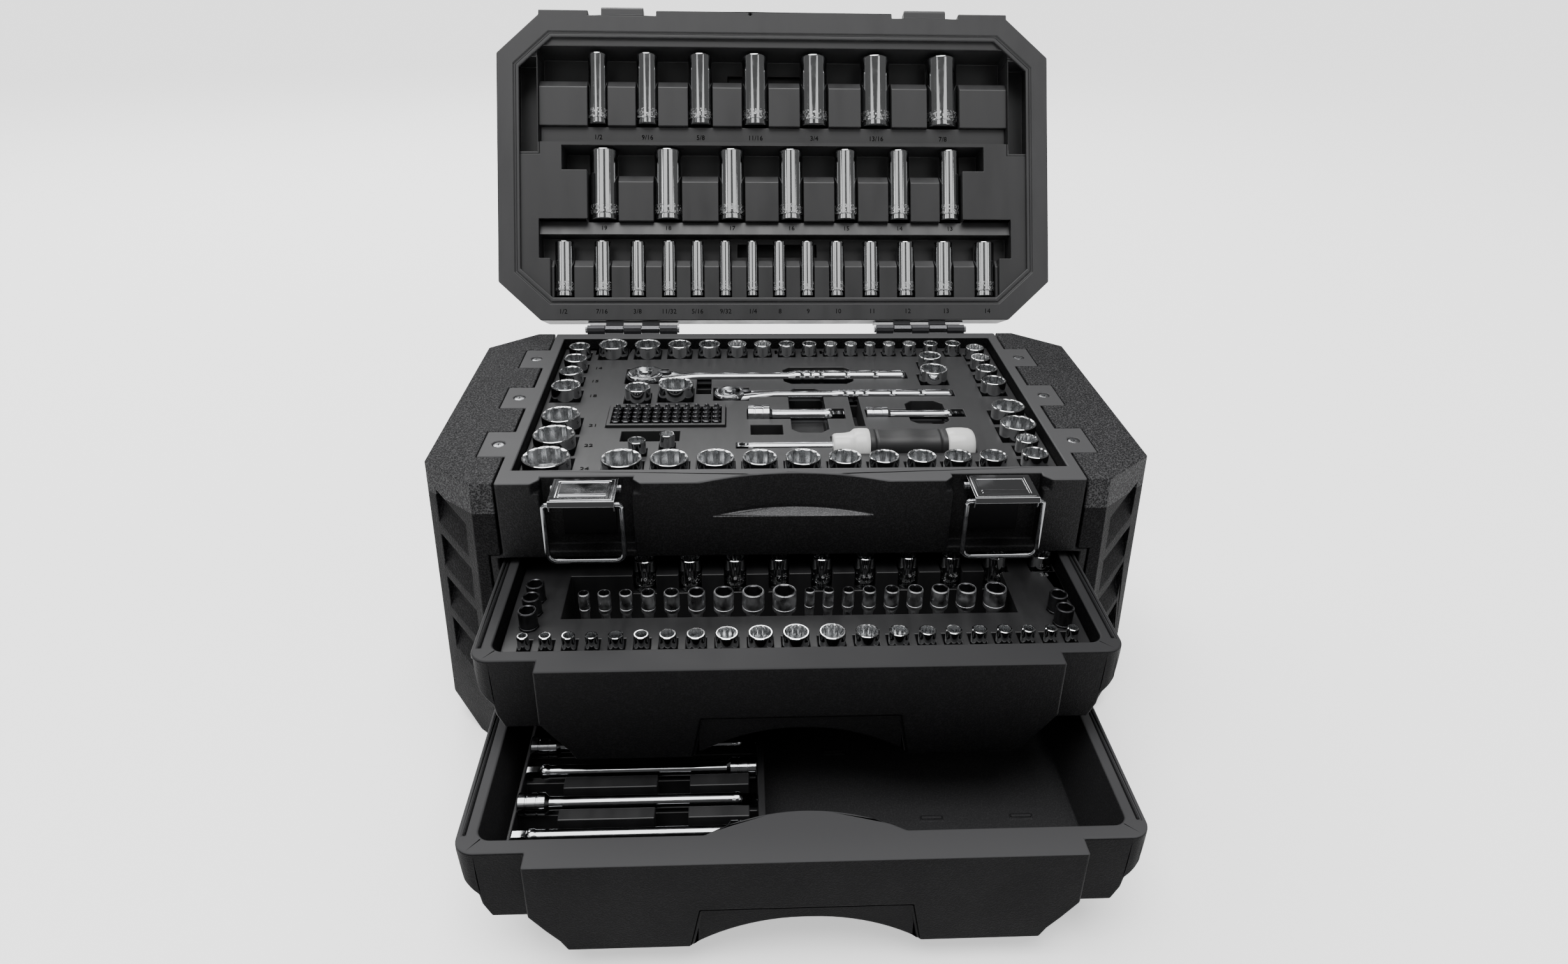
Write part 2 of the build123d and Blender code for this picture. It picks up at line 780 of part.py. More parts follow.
def rack_plan(grow):
    """Plan of the bit rack's place, grown by a wall."""
    half_long = bits_in_row * bit_pitch / 2 + 3 + touch_gap + grow
    half_deep = bit_rows * bit_pitch / 2 + 3 + touch_gap + grow
    return (rack_x - half_long, rack_x + half_long, rack_y - half_deep, rack_y + half_deep)


def rack_base():
    """Height on which the bit rack stands."""
    return tray_face - 14.0


def bit_places():
    """Centres of the bits in the rack."""
    places = []
    for row in range(bit_rows):
        for column in range(bits_in_row):
            x = rack_x + (column - (bits_in_row - 1) / 2) * bit_pitch
            y = rack_y + (row - (bit_rows - 1) / 2) * bit_pitch
            places.append((x, y))
    return places


def bit_rack():
    """Block with a square hole for each bit."""
    x0, x1, y0, y1 = rack_plan(-touch_gap)
    form = block(x0, x1, y0, y1, rack_base(), tray_face + 2)
    form -= block(x0 + 3, x1 - 3, y0 + 3, y1 - 3, tray_face - 4, tray_face + 3)
    return form


def rack_bits():
    """Bits that stand in the rack."""
    made = []
    floor = tray_face - 4
    for x, y in bit_places():
        made.append(Pos(x, y, floor + 5) * Box(bit_size - 1.4, bit_size - 1.4, 10))
    return group(made)


def ratchet(x0, x1, y, scale):
    """Ratchet handle lying along X, with its round head at the left and its drive downwards."""
    z = tool_axis()
    head = ratchet_head * scale
    centre = x0 + head
    under = tool_level(head) + touch_gap
    form = post(head, centre, y, z - 5 * scale, z + 7 * scale, head_sides)
    form += rod(ratchet_shaft * scale, centre, x1 - ratchet_grip_length + 2, y, z, tool_sides)
    form += rod(ratchet_grip * scale, x1 - ratchet_grip_length, x1 - ratchet_butt, y, z, tool_sides)
    form += rod(ratchet_grip * scale - 1, x1 - ratchet_butt - 1, x1 - ratchet_butt + 1, y, z, tool_sides)
    form += rod(ratchet_grip * scale, x1 - ratchet_butt + 1, x1, y, z, tool_sides)
    form += post(head * 0.55, centre, y, z + 6 * scale, z + 9 * scale)
    square = 9.5 * scale
    return form + block(centre - square / 2, centre + square / 2, y - square / 2, y + square / 2, under, z)


def extension_bar(x0, length, y, z, radius, head):
    """Extension bar lying along X with its head at the left and a square drive at the right."""
    square = head * 0.7
    bar = rod(head, x0, x0 + bar_head_length, y, z, tool_sides)
    bar += rod(radius, x0 + bar_head_length - 1, x0 + length - 9, y, z, tool_sides)
    bar += Pos(x0 + length - 5, y, z) * Box(10, square, square)
    bar -= Pos(x0 + 4, y, z) * Box(8.2, square, square)
    return bar


def spinner_shaft():
    """Steel shaft of the spinner handle with its square end."""
    z = tool_axis()
    x = spinner_x - spinner_shaft_length
    shaft = rod(bar_radius, x, spinner_x + spinner_socket, spinner_y, z, sides_around)
    return shaft + Pos(x - 1, spinner_y, z) * Box(6, driver_shank, driver_shank)


def spinner_collar():
    """Pale collar and butt of the spinner handle."""
    z = tool_axis()
    neck = spinner_x + spinner_collar_length
    end = spinner_x + spinner_length
    collar = rod(spinner_radius - 2, spinner_x, neck - 11, spinner_y, z, tool_sides)
    collar += rod(spinner_radius, neck - 13, neck, spinner_y, z, tool_sides)
    collar -= bore(bar_radius + pin_clearance, spinner_x - 1, spinner_x + spinner_socket, spinner_y, z)
    butt = rod(spinner_radius, end - spinner_butt, end, spinner_y, z, tool_sides)
    butt -= rod(3, end - 6, end + 1, spinner_y, z, 4)
    return group([collar, butt])


def spinner_grip():
    """Dark grip of the spinner handle."""
    z = tool_axis()
    x0 = spinner_x + spinner_collar_length
    x1 = spinner_x + spinner_length - spinner_butt
    grip = rod(spinner_radius - 1.5, x0, x1, spinner_y, z, tool_sides)
    for start in (x0 + 5, x1 - 23):
        grip += rod(spinner_radius - 0.2, start, start + 18, spinner_y, z, tool_sides)
    return grip


def lid_octagon(z, inset):
    """Outline of the lid at one height."""
    trim = inset * 0.41
    face = octagon(half_x - inset, lid_half_y - inset, z, corner_run_x - trim, corner_run_y + 1 - trim)
    return Pos(0, lid_middle, 0) * face


def lid_shell():
    """Lid moulding as it lies when closed."""
    shoulder = lid_base + lid_height - lid_bevel
    roof = lid_base + lid_height
    form = loft([lid_octagon(lid_base, 0), lid_octagon(shoulder, lid_draft)], ruled=True)
    form += loft([lid_octagon(shoulder, lid_draft), lid_octagon(roof, lid_draft + lid_bevel)], ruled=True)
    form -= loft([lid_octagon(insert_face, wall), lid_octagon(shoulder, wall + lid_draft)], ruled=True)
    inner_top = wall + lid_draft + lid_bevel - wall * 0.4
    form -= loft([lid_octagon(shoulder, wall + lid_draft), lid_octagon(roof - wall, inner_top)], ruled=True)
    form -= extrude(lid_octagon(lid_base - 1, lid_rim), wall + 2, dir=(0, 0, 1))
    ring = extrude(lid_octagon(lid_base - 1, lid_rim - 3 - seal_width), seal_depth + 1, dir=(0, 0, 1))
    ring -= extrude(lid_octagon(lid_base - 1, lid_rim - 3), seal_depth + 1, dir=(0, 0, 1))
    form -= ring
    return form + lid_flanges() + lid_catches()


def lid_flanges():
    """Front lips of the lid, between and beside the latch notches."""
    y1 = front + lid_short
    y0 = y1 - lid_flange
    inner = latch_centre - latch_recess_width / 2
    outer = latch_centre + latch_recess_width / 2
    high = lid_base + lid_flange_height
    middle = block(-inner, inner, y0, y1 + 2, lid_base, high)
    middle -= post(1.5, -22.0, y0 + 2.2, lid_base - 1, high + 1)
    end = half_x - corner_run_x
    side = block(outer, end, y0, y1 + 2, lid_base, high)
    return middle + side + left_of(side)


def lid_catches():
    """Blocks over which the bails hook, each with a groove for the wire."""
    y1 = front + lid_short
    y0 = y1 - catch_depth
    z1 = lid_base + catch_height
    half = catch_width / 2
    outline = [
        (y1 + 2, z1),
        (y0 + catch_lip + 1, z1),
        (y0 + catch_lip, z1 + catch_lip_rise),
        (y0, z1 + catch_lip_rise),
        (y0, lid_base + 3),
        (y0 + 2, lid_base + 1),
        (y1 + 2, lid_base + 1),
    ]
    right = seen_from_side(outline, latch_centre - half, latch_centre + half)
    return right + left_of(right)


def lid_rows():
    """Rows of sockets in the lid: places, sizes, front end, length and pocket front."""
    row_one = (lid_row_one_x, lid_row_one, 243.5, deep_socket_length)
    row_two = (lid_row_two_x, lid_row_two, 157.0, deep_socket_length)
    row_three = (lid_row_three_x, lid_row_three, 73.0, small_deep_length)
    return [row_one, row_two, row_three]


def lid_troughs():
    """Troughs that hold the rows: ends along X, far and near distance from the hinge edge, depth."""
    return [
        (-214.0, 214.0, 248.0, 178.0, 33.5),
        (-170.5, 171.5, 138.0, 91.5, 29.5),
        (-204.0, 205.0, 58.0, 21.5, 21.5),
    ]


def lid_hollows():
    """All that is sunk into the lid's insert between its side wells: troughs, heads and the ledge."""
    heads = [(-193.0, 191.0, 159.0, 137.0, 29.5), (-214.0, 216.0, 79.0, 57.0, 21.5)]
    ledge = [(-214.0, 214.0, 179.0, 162.0, ledge_drop)]
    return lid_troughs() + heads + ledge


def lid_well(side, grow, rise):
    """Space of a side well of the lid's insert, grown by a wall and carried past its mouth."""
    middle = side * (half_x - well_inset - well_half_width)
    half = well_half_width + grow
    far = rear - well_far - grow
    near = rear - well_near + grow
    return block(middle - half, middle + half, far, near, insert_face - rise, insert_face + well_sink + grow)


def lid_wells():
    """The two side wells of the lid's insert, each a cup of its own."""
    cups = []
    for side in (1, -1):
        cup = lid_well(side, pocket_wall, 0) - lid_well(side, 0, 1)
        for x0, x1, far, near, deep in lid_hollows():
            cup -= block(x0, x1, rear - far, rear - near, insert_face - 1, insert_face + deep)
        cups.append(cup)
    return group(cups)


def lid_insert():
    """Insert of the lid: troughs for three rows and ledges for their figures."""
    outer = lid_rim - insert_lap
    form = extrude(lid_octagon(insert_face, outer), insert_thickness, dir=(0, 0, 1))
    w = pocket_wall
    for x0, x1, far, near, deep in lid_hollows():
        form += block(x0 - w, x1 + w, rear - far - w, rear - near + w, insert_face + 1, insert_face + deep + w)
    shelf = [(-214.0, 92.5, 9.0), (216.0, 78.0, 4.0)]
    (x0, far, low), (x1, near, high) = shelf
    form += block(x0 - w, x1 + w, rear - far, rear - near, insert_face + 1, insert_face + low + w)
    for hollow_x0, hollow_x1, hollow_far, hollow_near, deep in lid_hollows():
        form -= block(hollow_x0, hollow_x1, rear - hollow_far, rear - hollow_near, insert_face - 1, insert_face + deep)
    slope = [
        (rear - far, insert_face + low),
        (rear - near, insert_face + high),
        (rear - near, insert_face - 1),
        (rear - far, insert_face - 1),
    ]
    form -= seen_from_side(slope, x0, x1)
    form -= block(-43, 29, rear - 234.5, rear - 221, insert_face + 30, insert_face + 33.5 + w + 1)
    form -= block(-35, 38, rear - 74, rear - 62, insert_face + 18, insert_face + 21.5 + w + 1)
    for side in (1, -1):
        form -= lid_well(side, w, 1)
    return form


def lid_islands():
    """Raised blocks of the insert that grip the sockets of each row at their lower half."""
    made = []
    starts = [220.0, 134.0, 57.0]
    for (places, sizes, far, length), trough, start in zip(lid_rows(), lid_troughs(), starts):
        x0, x1, trough_far, trough_near, deep = trough
        y1 = rear - trough_near
        y0 = rear - start
        edges = [x0]
        for x, size in zip(places, sizes):
            edges.append(x - size / 2 - lid_row_gap)
            edges.append(x + size / 2 + lid_row_gap)
        edges.append(x1)
        low = insert_face + island_drop
        high = insert_face + deep
        for begin, end in zip(edges[::2], edges[1::2]):
            if end - begin > 2:
                crown = [(y0, high), (y0, low + 6), (y0 + 7, low), (y1, low), (y1, high)]
                made.append(seen_from_side(crown, begin, end))
    return group(made)


def lid_sockets(number):
    """Deep sockets of one row, lying with their mouths away from the hinge."""
    places, sizes, far, length = lid_rows()[number]
    made = []
    for x, size in zip(places, sizes):
        z = insert_face + size / 2 + 0.6
        made.append(Pos(x, rear - far + length, z) * Rot(90, 0, 0) * socket(size, length, 14))
    return group(made)


def open_lid(shape):
    """Turns a piece of the closed lid into its open place."""
    axis = Axis((0, hinge_y, hinge_z), (1, 0, 0))
    return shape.rotate(axis, -lid_open_angle)


def knuckles(centre, count, first):
    """Every other knuckle of one hinge, with the pin hole through it."""
    pitch = hinge_width / count
    found = []
    for index in range(first, count, 2):
        x0 = centre - hinge_width / 2 + index * pitch + knuckle_gap / 2
        found.append((x0, x0 + pitch - knuckle_gap))
    return found


def body_leaves():
    """Leaves on the rear wall with three knuckles each."""
    made = []
    for centre in (hinge_centre, -hinge_centre):
        x0 = centre - hinge_width / 2
        low = hinge_z - knuckle_radius - leaf_height
        leaf = block(x0, x0 + hinge_width, rear, rear + leaf_thickness, low, hinge_z - knuckle_radius)
        for start, end in knuckles(centre, 5, 0):
            barrel = rod(knuckle_radius, start, end, hinge_y, hinge_z, tool_sides)
            web_top = hinge_z - knuckle_radius + leaf_thickness
            web = block(start, end, rear, hinge_y, hinge_z - knuckle_radius, web_top)
            leaf += barrel + web
        leaf -= bore(hinge_pin_radius + pin_clearance, x0 - 1, x0 + hinge_width + 1, hinge_y, hinge_z)
        made.append(leaf)
    return group(made)


def lid_leaves():
    """Leaves on the rear face of the lid with two knuckles each, as closed."""
    made = []
    for centre in (hinge_centre, -hinge_centre):
        x0 = centre - hinge_width / 2
        low = hinge_z + knuckle_radius
        leaf = block(x0, x0 + hinge_width, rear, rear + leaf_thickness, low, low + leaf_height * 0.8)
        for start, end in knuckles(centre, 5, 1):
            barrel = rod(knuckle_radius, start, end, hinge_y, hinge_z, tool_sides)
            web = block(start, end, rear, hinge_y, low - leaf_thickness, low)
            leaf += barrel + web
        leaf -= bore(hinge_pin_radius + pin_clearance, x0 - 1, x0 + hinge_width + 1, hinge_y, hinge_z)
        made.append(leaf)
    return group(made)


def hinge_pins():
    """Steel pins of both hinges, with a small head at each end."""
    made = []
    for centre in (hinge_centre, -hinge_centre):
        half = hinge_width / 2
        head = hinge_pin_radius + pin_head_step
        steel = round_pin(hinge_pin_radius, centre - half - 1, centre + half + 1, hinge_y, hinge_z)
        for x in (centre - half - pin_head, centre + half):
            steel += rod(head, x, x + pin_head, hinge_y, hinge_z, sides_around)
        made.append(steel)
    return group(made)


def latch_base(centre):
    """Pressed bracket in the recess, with two ears that carry the lever's pin."""
    back = front + latch_recess_depth
    half = base_width / 2
    low = top - latch_recess_height + 8
    form = block(centre - half, centre + half, back - base_sheet, back, low, pivot_z - 6)
    for side in (1, -1):
        ear = [
            (back - base_sheet / 2, pivot_z - 16),
            (back - base_sheet / 2, pivot_z - 6),
            (pivot_y + 2.2, pivot_z + 2.8),
            (pivot_y - 2.2, pivot_z + 2.8),
            (pivot_y - 3.4, pivot_z),
            (pivot_y - 2.2, pivot_z - 3.4),
        ]
        outer = centre + side * half
        form += seen_from_side(ear, outer, outer - side * base_sheet)
    form -= bore(latch_pin_radius + pin_clearance, centre - half - 1, centre + half + 1, pivot_y, pivot_z)
    return form


def latch_pin(centre):
    """Rivet through the bracket and the lever."""
    half = lever_width / 2 + latch_head_gap
    head = latch_pin_radius + pin_head_step
    steel = round_pin(latch_pin_radius, centre - half - 1, centre + half + 1, pivot_y, pivot_z)
    for x in (centre - half - pin_head, centre + half):
        steel += rod(head, x, x + pin_head, pivot_y, pivot_z, sides_around)
    return steel


def latch_lever(centre):
    """Pressed lever plate with folded ears, raised as when the latch is open."""
    half = lever_width / 2
    y1 = pivot_y + 4.5
    y0 = y1 - lever_length
    high = pivot_z + lever_rise
    plate = block(centre - half, centre + half, y0, y1, high - latch_sheet, high)
    lip = [(y0, high), (y0 + 1.2, high), (y0 - 0.4, high - 3.6), (y0 - 1.6, high - 3.6)]
    plate += seen_from_side(lip, centre - half, centre + half)
    bail_y = pivot_y - bail_reach
    for side in (1, -1):
        outer = centre + side * half
        ear = [
            (y1, high),
            (y1, pivot_z - 2.5),
            (pivot_y, pivot_z - 3.4),
            (bail_y + 2, pivot_z - lever_ear + lever_rise),
            (bail_y - 2.5, pivot_z - lever_ear + lever_rise),
            (y0, high),
        ]
        plate += seen_from_side(ear, outer, outer - side * latch_sheet)
    panel = half - 6
    plate -= block(centre - panel, centre + panel, y0 + 6, y1 - 6, high - 0.5, high + 1)
    plate -= bore(latch_pin_radius + pin_clearance, centre - half - 1, centre + half + 1, pivot_y, pivot_z)
    plate -= bore(bail_wire + pin_clearance, centre - half - 1, centre + half + 1, bail_y, pivot_z)
    return plate


def bent(points, radii):
    """The corners of a path, each turned into a few short steps round a bend."""
    made = [Vector(*points[0])]
    for before, corner, after, radius in zip(points, points[1:], points[2:], radii):
        corner = Vector(*corner)
        into = (corner - Vector(*before)).normalized()
        out = (Vector(*after) - corner).normalized()
        centre = corner - into * radius + out * radius
        for step in range(bend_steps + 1):
            angle = math.radians(90.0 * step / bend_steps)
            made.append(centre - out * (radius * math.cos(angle)) + into * (radius * math.sin(angle)))
    made.append(Vector(*points[-1]))
    return made


def bail(centre):
    """Bent wire that hangs from the lever's ears, with its ends inside them."""
    y = pivot_y - bail_reach
    half = bail_width / 2 - bail_wire
    inner = lever_width / 2 - latch_sheet - 1.6
    low = pivot_z - bail_height
    tight = 2.2 * bail_wire / 1.8
    bend = half - tight - 0.5
    points = [
        (centre - bend, y, pivot_z),
        (centre - half, y, pivot_z),
        (centre - half, y, low),
        (centre + half, y, low),
        (centre + half, y, pivot_z),
        (centre + bend, y, pivot_z),
    ]
    path = Polyline(*bent(points, [tight, bail_bend, bail_bend, tight]))
    start = Plane(origin=points[0], z_dir=(-1, 0, 0))
    wire = sweep(start * RegularPolygon(bail_wire, wire_sides), path=path, transition=Transition.RIGHT)
    stub = round_pin(bail_wire, inner, half - tight, y, pivot_z)
    return wire + Pos(centre, 0, 0) * (stub + left_of(stub))


def drawer_insert():
    """Insert of the middle drawer with pockets for sockets, drivers and bits."""
    face = -drawer_face_drop
    edge = 0.3
    lean = drawer_draft * (drawer_face_drop + insert_thickness) / drawer_tub_depth
    x_edge = tub_half - lean - edge
    y0 = tub_front + lean / 2 + edge
    y1 = drawer_rear - 3 - lean / 2 - edge
    floor = -drawer_tub_depth + drawer_wall
    plate = RectangleRounded(2 * x_edge, y1 - y0, drawer_corner)
    form = extrude(Pos(0, (y0 + y1) / 2, face - insert_thickness) * plate, insert_thickness, dir=(0, 0, 1))
    deep = drawer_socket_height
    row = drawer_row_lines()
    w = pocket_wall
    form += block(-x_edge + 8, x_edge - 8, row["front"] - 11, row["front"] + 11, -deep - w, face)
    form += block(-x_edge + 8, x_edge - 8, row["rear"] - 11, row["rear"] + 11, -deep - w, face)
    form += block(-152 - w, 146 + w, row["driver"] - 18 - w, row["driver"] + 31 + w, floor, face)
    form += block(-x_edge + 4, -156 + w, row["driver"] - 30, row["driver"] + 22, -deep - w, face)
    form += block(160 - w, x_edge - 4, row["driver"] - 40, row["driver"] - 8, -deep - w, face)
    form -= block(-152, 146, row["driver"] - 18, row["driver"] + 31, floor + w, face + 1)
    comb = row["driver"] - 4
    form += block(-152, 146, comb, comb + 8, floor + 1, floor + 17)
    shank = driver_shank / 2 + 0.25
    for x, size in driver_places():
        form -= block(x - shank, x + shank, comb - 1, comb + 9, floor + w, floor + 18)
    for line, places in (("front", front_places()), ("rear", rear_places())):
        for x, size in places:
            reach = size / 2 + socket_clearance
            form -= block(x - reach, x + reach, row[line] - 9, row[line] + 9, -deep, face + 1)
    for x, y in hex_bit_places():
        form -= post(6.3, x, y, -deep, face + 1)
    return form


def drawer_row_lines():
    """Depths of the rows in the middle drawer, as closed."""
    return {"front": tub_front + 15, "driver": tub_front + 64, "rear": tub_front + 103}


def front_places():
    """Sockets of the drawer's front row."""
    xs = row_places(drawer_front_sizes, drawer_front_gap, -174.0)
    return list(zip(xs, drawer_front_sizes))


def rear_places():
    """Sockets of the drawer's rear row."""
    xs = row_places(drawer_rear_sizes, drawer_rear_gap, -110.0)
    return list(zip(xs, drawer_rear_sizes))


def driver_places():
    """Nut drivers of the middle row."""
    xs = row_places(driver_sizes, driver_gap, -143.0)
    return list(zip(xs, driver_sizes))


def hex_bit_places():
    """Bit sockets at both ends of the middle drawer."""
    line = tub_front + 40
    left = [(-171.0, line + 28), (-171.0, line + 13), (-171.0, line - 2)]
    right = [(172.0, line + 8), (172.0, line - 7)]
    return left + right


def drawer_sockets(places, line):
    """Short sockets in one row of the middle drawer."""
    y = drawer_row_lines()[line]
    made = []
    for x, size in places:
        made.append(Pos(x, y, -drawer_socket_height) * socket(size, drawer_socket_height, 7))
    return group(made)


def nut_drivers():
    """Nut drivers that stand on their shanks with their mouths upwards."""
    y = drawer_row_lines()["driver"]
    floor = -drawer_tub_depth + drawer_wall + pocket_wall
    high = floor + driver_length + 4
    made = []
    for x, size in driver_places():
        head = Pos(0, 0, high - driver_head) * socket(size, driver_head, 8)
        half = min(driver_shank, size - 1.5) / 2
        shank = block(-half, half, -half, half, floor, high - driver_head)
        made.append(Pos(x, y, 0) * (head + shank))
    return group(made)


def hex_bits():
    """Bit sockets: a round body with a six sided bit above it."""
    made = []
    for x, y in hex_bit_places():
        body = post(6.0, x, y, -drawer_socket_height, -8)
        tip = Pos(x, y, -9) * extrude(RegularPolygon(3, 6), 12)
        made.append(body + tip)
    return group(made)


def bottom_insert():
    """Insert in the left half of the bottom drawer, with islands between the bars."""
    floor = -drawer_tub_depth + drawer_wall
    x0 = -tub_half + drawer_draft + insert_inset
    x1 = -22.0
    y0 = tub_front + drawer_draft / 2 + insert_inset
    y1 = drawer_rear - 3 - drawer_draft / 2 - insert_inset
    bed = bar_axis() - bar_head
    form = block(x0, x1, y0, y1, floor, floor + pocket_wall)
    form += block(x0, bar_start - touch_gap, y0, y1, floor, bar_axis())
    form += block(bar_start + bar_length + touch_gap, x1, y0, y1, floor, bar_axis())
    lines = bar_lines()
    for line in lines:
        form += block(x0 + 1, x1 - 1, line - 3, line + 3, floor + 1, bed)
    edges = [y0] + [value for line in lines for value in (line - bar_head - 1.5, line + bar_head + 1.5)] + [y1]
    for start, end in zip(edges[::2], edges[1::2]):
        if end - start > 6:
            for a, b in ((-147.0, -89.0), (-69.0, -32.0)):
                form += block(a, b, start, end, floor + 1, bar_axis() + 4)
    return form


def bar_axis():
    """Height of the middle line of the bars in the bottom drawer."""
    return -20.0


def bar_lines():
    """Depths of the bars in the bottom drawer, as closed."""
    return [tub_front + 20, tub_front + 46, tub_front + 73, tub_front + 96]


def long_bars():
    """Extension bars in the bottom drawer."""
    made = []
    for index, y in enumerate(bar_lines()):
        bar = extension_bar(bar_start, bar_length, y, bar_axis(), bar_radius, bar_head)
        if index % 2 == 0:
            bar = bar.rotate(Axis((bar_start + bar_length / 2, y, bar_axis()), (0, 0, 1)), 180)
        made.append(bar)
    return group(made)


def bottom_drawer_shell():
    """Bottom drawer with the arched rim and short ribs on its floor."""
    form = drawer_shell(True)
    floor = -drawer_tub_depth + drawer_wall
    for x in (20.0, 78.0, 136.0):
        for y in (tub_front + 52, tub_front + 114):
            form += block(x, x + 14, y, y + 3, floor - 0.5, floor + 2)
    return form


def closed_drawer(shape, level, pull):
    """Moves a drawer's piece from its own frame to where it stands, pulled out."""
    return Pos(0, -pull, level) * shape


def pieces():
    """Every piece by name, as it stands."""
    upper = drawer_top
    lower = drawer_top - drawer_pitch
    made = {
        "case_housing": housing(),
        "side_cover_right": side_cover(),
        "side_cover_left": left_of(side_cover()),
        "side_cover_screws": side_cover_screws(),
        "runner_upper_right": drawer_runner(upper, 1),
        "runner_upper_left": drawer_runner(upper, -1),
        "runner_lower_right": drawer_runner(lower, 1),
        "runner_lower_left": drawer_runner(lower, -1),
        "hinge_leaves_body": body_leaves(),
        "hinge_pins": hinge_pins(),
        "hinge_leaves_lid": open_lid(lid_leaves()),
        "latch_base_right": latch_base(latch_centre),
        "latch_base_left": latch_base(-latch_centre),
        "latch_pins": group([latch_pin(latch_centre), latch_pin(-latch_centre)]),
        "latch_lever_right": latch_lever(latch_centre),
        "latch_lever_left": latch_lever(-latch_centre),
        "bail_right": bail(latch_centre),
        "bail_left": bail(-latch_centre),
        "top_tray_insert": top_tray_insert(),
        "bit_rack": bit_rack(),
        "rack_bits": rack_bits(),
        "ratchet_large": ratchet(large_ratchet_left, large_ratchet_right, large_ratchet_y, 1.0),
        "ratchet_small": ratchet(small_ratchet_left, small_ratchet_right, small_ratchet_y, small_ratchet_scale),
        "extension_bar_wide": extension_bar(
            wide_bar_start, wide_bar_length, short_bars_y, tool_axis(), wide_bar_radius, wide_bar_head
        ),
        "extension_bar_narrow": extension_bar(
            narrow_bar_start, narrow_bar_length, short_bars_y, tool_axis(), bar_radius, bar_head
        ),
        "spinner_shaft": spinner_shaft(),
        "spinner_collar": spinner_collar(),
        "spinner_grip": spinner_grip(),
        "lid_shell": open_lid(lid_shell()),
        "lid_insert": open_lid(lid_insert()),
        "lid_insert_islands": open_lid(lid_islands()),
        "lid_insert_wells": open_lid(lid_wells()),
        "middle_drawer": closed_drawer(drawer_shell(False), upper, middle_pull),
        "middle_drawer_insert": closed_drawer(drawer_insert(), upper, middle_pull),
        "middle_sockets_front": closed_drawer(drawer_sockets(front_places(), "front"), upper, middle_pull),
        "middle_sockets_rear": closed_drawer(drawer_sockets(rear_places(), "rear"), upper, middle_pull),
        "nut_drivers": closed_drawer(nut_drivers(), upper, middle_pull),
        "hex_bits": closed_drawer(hex_bits(), upper, middle_pull),
        "bottom_drawer": closed_drawer(bottom_drawer_shell(), lower, bottom_pull),
        "bottom_drawer_insert": closed_drawer(bottom_insert(), lower, bottom_pull),
        "long_extension_bars": closed_drawer(long_bars(), lower, bottom_pull),
    }
    for side in ("front", "left", "rear", "right", "inner"):
        made["top_sockets_" + side] = standing_sockets(side)
    for number in range(3):
        made["lid_sockets_row_" + str(number + 1)] = open_lid(lid_sockets(number))
    return made


os.makedirs("parts", exist_ok=True)
for name, shape in pieces().items():
    export_step(shape, "parts/" + name + ".step")
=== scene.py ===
import json
import math

import bmesh
import bpy
import numpy as np
from mathutils import Matrix, Vector

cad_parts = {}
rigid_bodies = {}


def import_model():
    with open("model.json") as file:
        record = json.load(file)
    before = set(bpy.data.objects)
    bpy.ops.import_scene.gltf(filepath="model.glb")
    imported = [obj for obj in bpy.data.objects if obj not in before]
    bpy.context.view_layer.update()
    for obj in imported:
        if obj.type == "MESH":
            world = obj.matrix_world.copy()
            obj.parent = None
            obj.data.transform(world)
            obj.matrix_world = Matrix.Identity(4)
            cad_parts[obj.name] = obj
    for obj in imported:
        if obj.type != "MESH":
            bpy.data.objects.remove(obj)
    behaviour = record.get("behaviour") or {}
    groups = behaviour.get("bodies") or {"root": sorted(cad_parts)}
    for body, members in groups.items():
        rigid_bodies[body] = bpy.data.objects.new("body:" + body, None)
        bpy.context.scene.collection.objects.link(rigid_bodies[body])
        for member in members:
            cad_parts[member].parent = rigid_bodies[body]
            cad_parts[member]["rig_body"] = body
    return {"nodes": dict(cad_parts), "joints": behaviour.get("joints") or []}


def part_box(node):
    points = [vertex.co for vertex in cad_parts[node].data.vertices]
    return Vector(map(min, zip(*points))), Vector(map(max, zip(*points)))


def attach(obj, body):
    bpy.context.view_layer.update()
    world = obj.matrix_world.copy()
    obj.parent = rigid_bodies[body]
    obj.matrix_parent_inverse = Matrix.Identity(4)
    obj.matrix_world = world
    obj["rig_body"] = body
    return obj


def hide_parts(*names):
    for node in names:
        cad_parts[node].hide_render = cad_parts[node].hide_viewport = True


bl_info = {
    "name": "Tool case",
    "version": (1, 0, 0),
    "blender": (4, 5, 0),
    "location": "3D View > Sidebar > Tool case",
    "description": "Dresses the tool case with its moulded plastics, plated tools and lettering",
    "category": "Object",
}

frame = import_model()
NODES = frame["nodes"]
HINGE = next(joint for joint in frame["joints"] if joint["name"] == "lid_hinge")
OPEN_ANGLE = math.radians(HINGE["range_deg"][1])
QUARTER_TURN = math.radians(90)
MM = 0.001
# Distances in metres within which the points of a made surface, and of a CAD node, are one
SAME_PLACE = 2e-7
SAME_CAD_PLACE = 2e-6
NO_LENGTH = 1e-7
# The last strips of a turned surface, which line its mouth
MOUTH_STRIPS = 4


def linear(code):
    """Linear colour with full alpha from an sRGB hex value."""
    channels = np.array([int(code[i:i + 2], 16) for i in (1, 3, 5)]) / 255.0
    low = channels / 12.92
    high = ((channels + 0.055) / 1.055) ** 2.4
    return tuple(np.where(channels <= 0.04045, low, high)) + (1.0,)


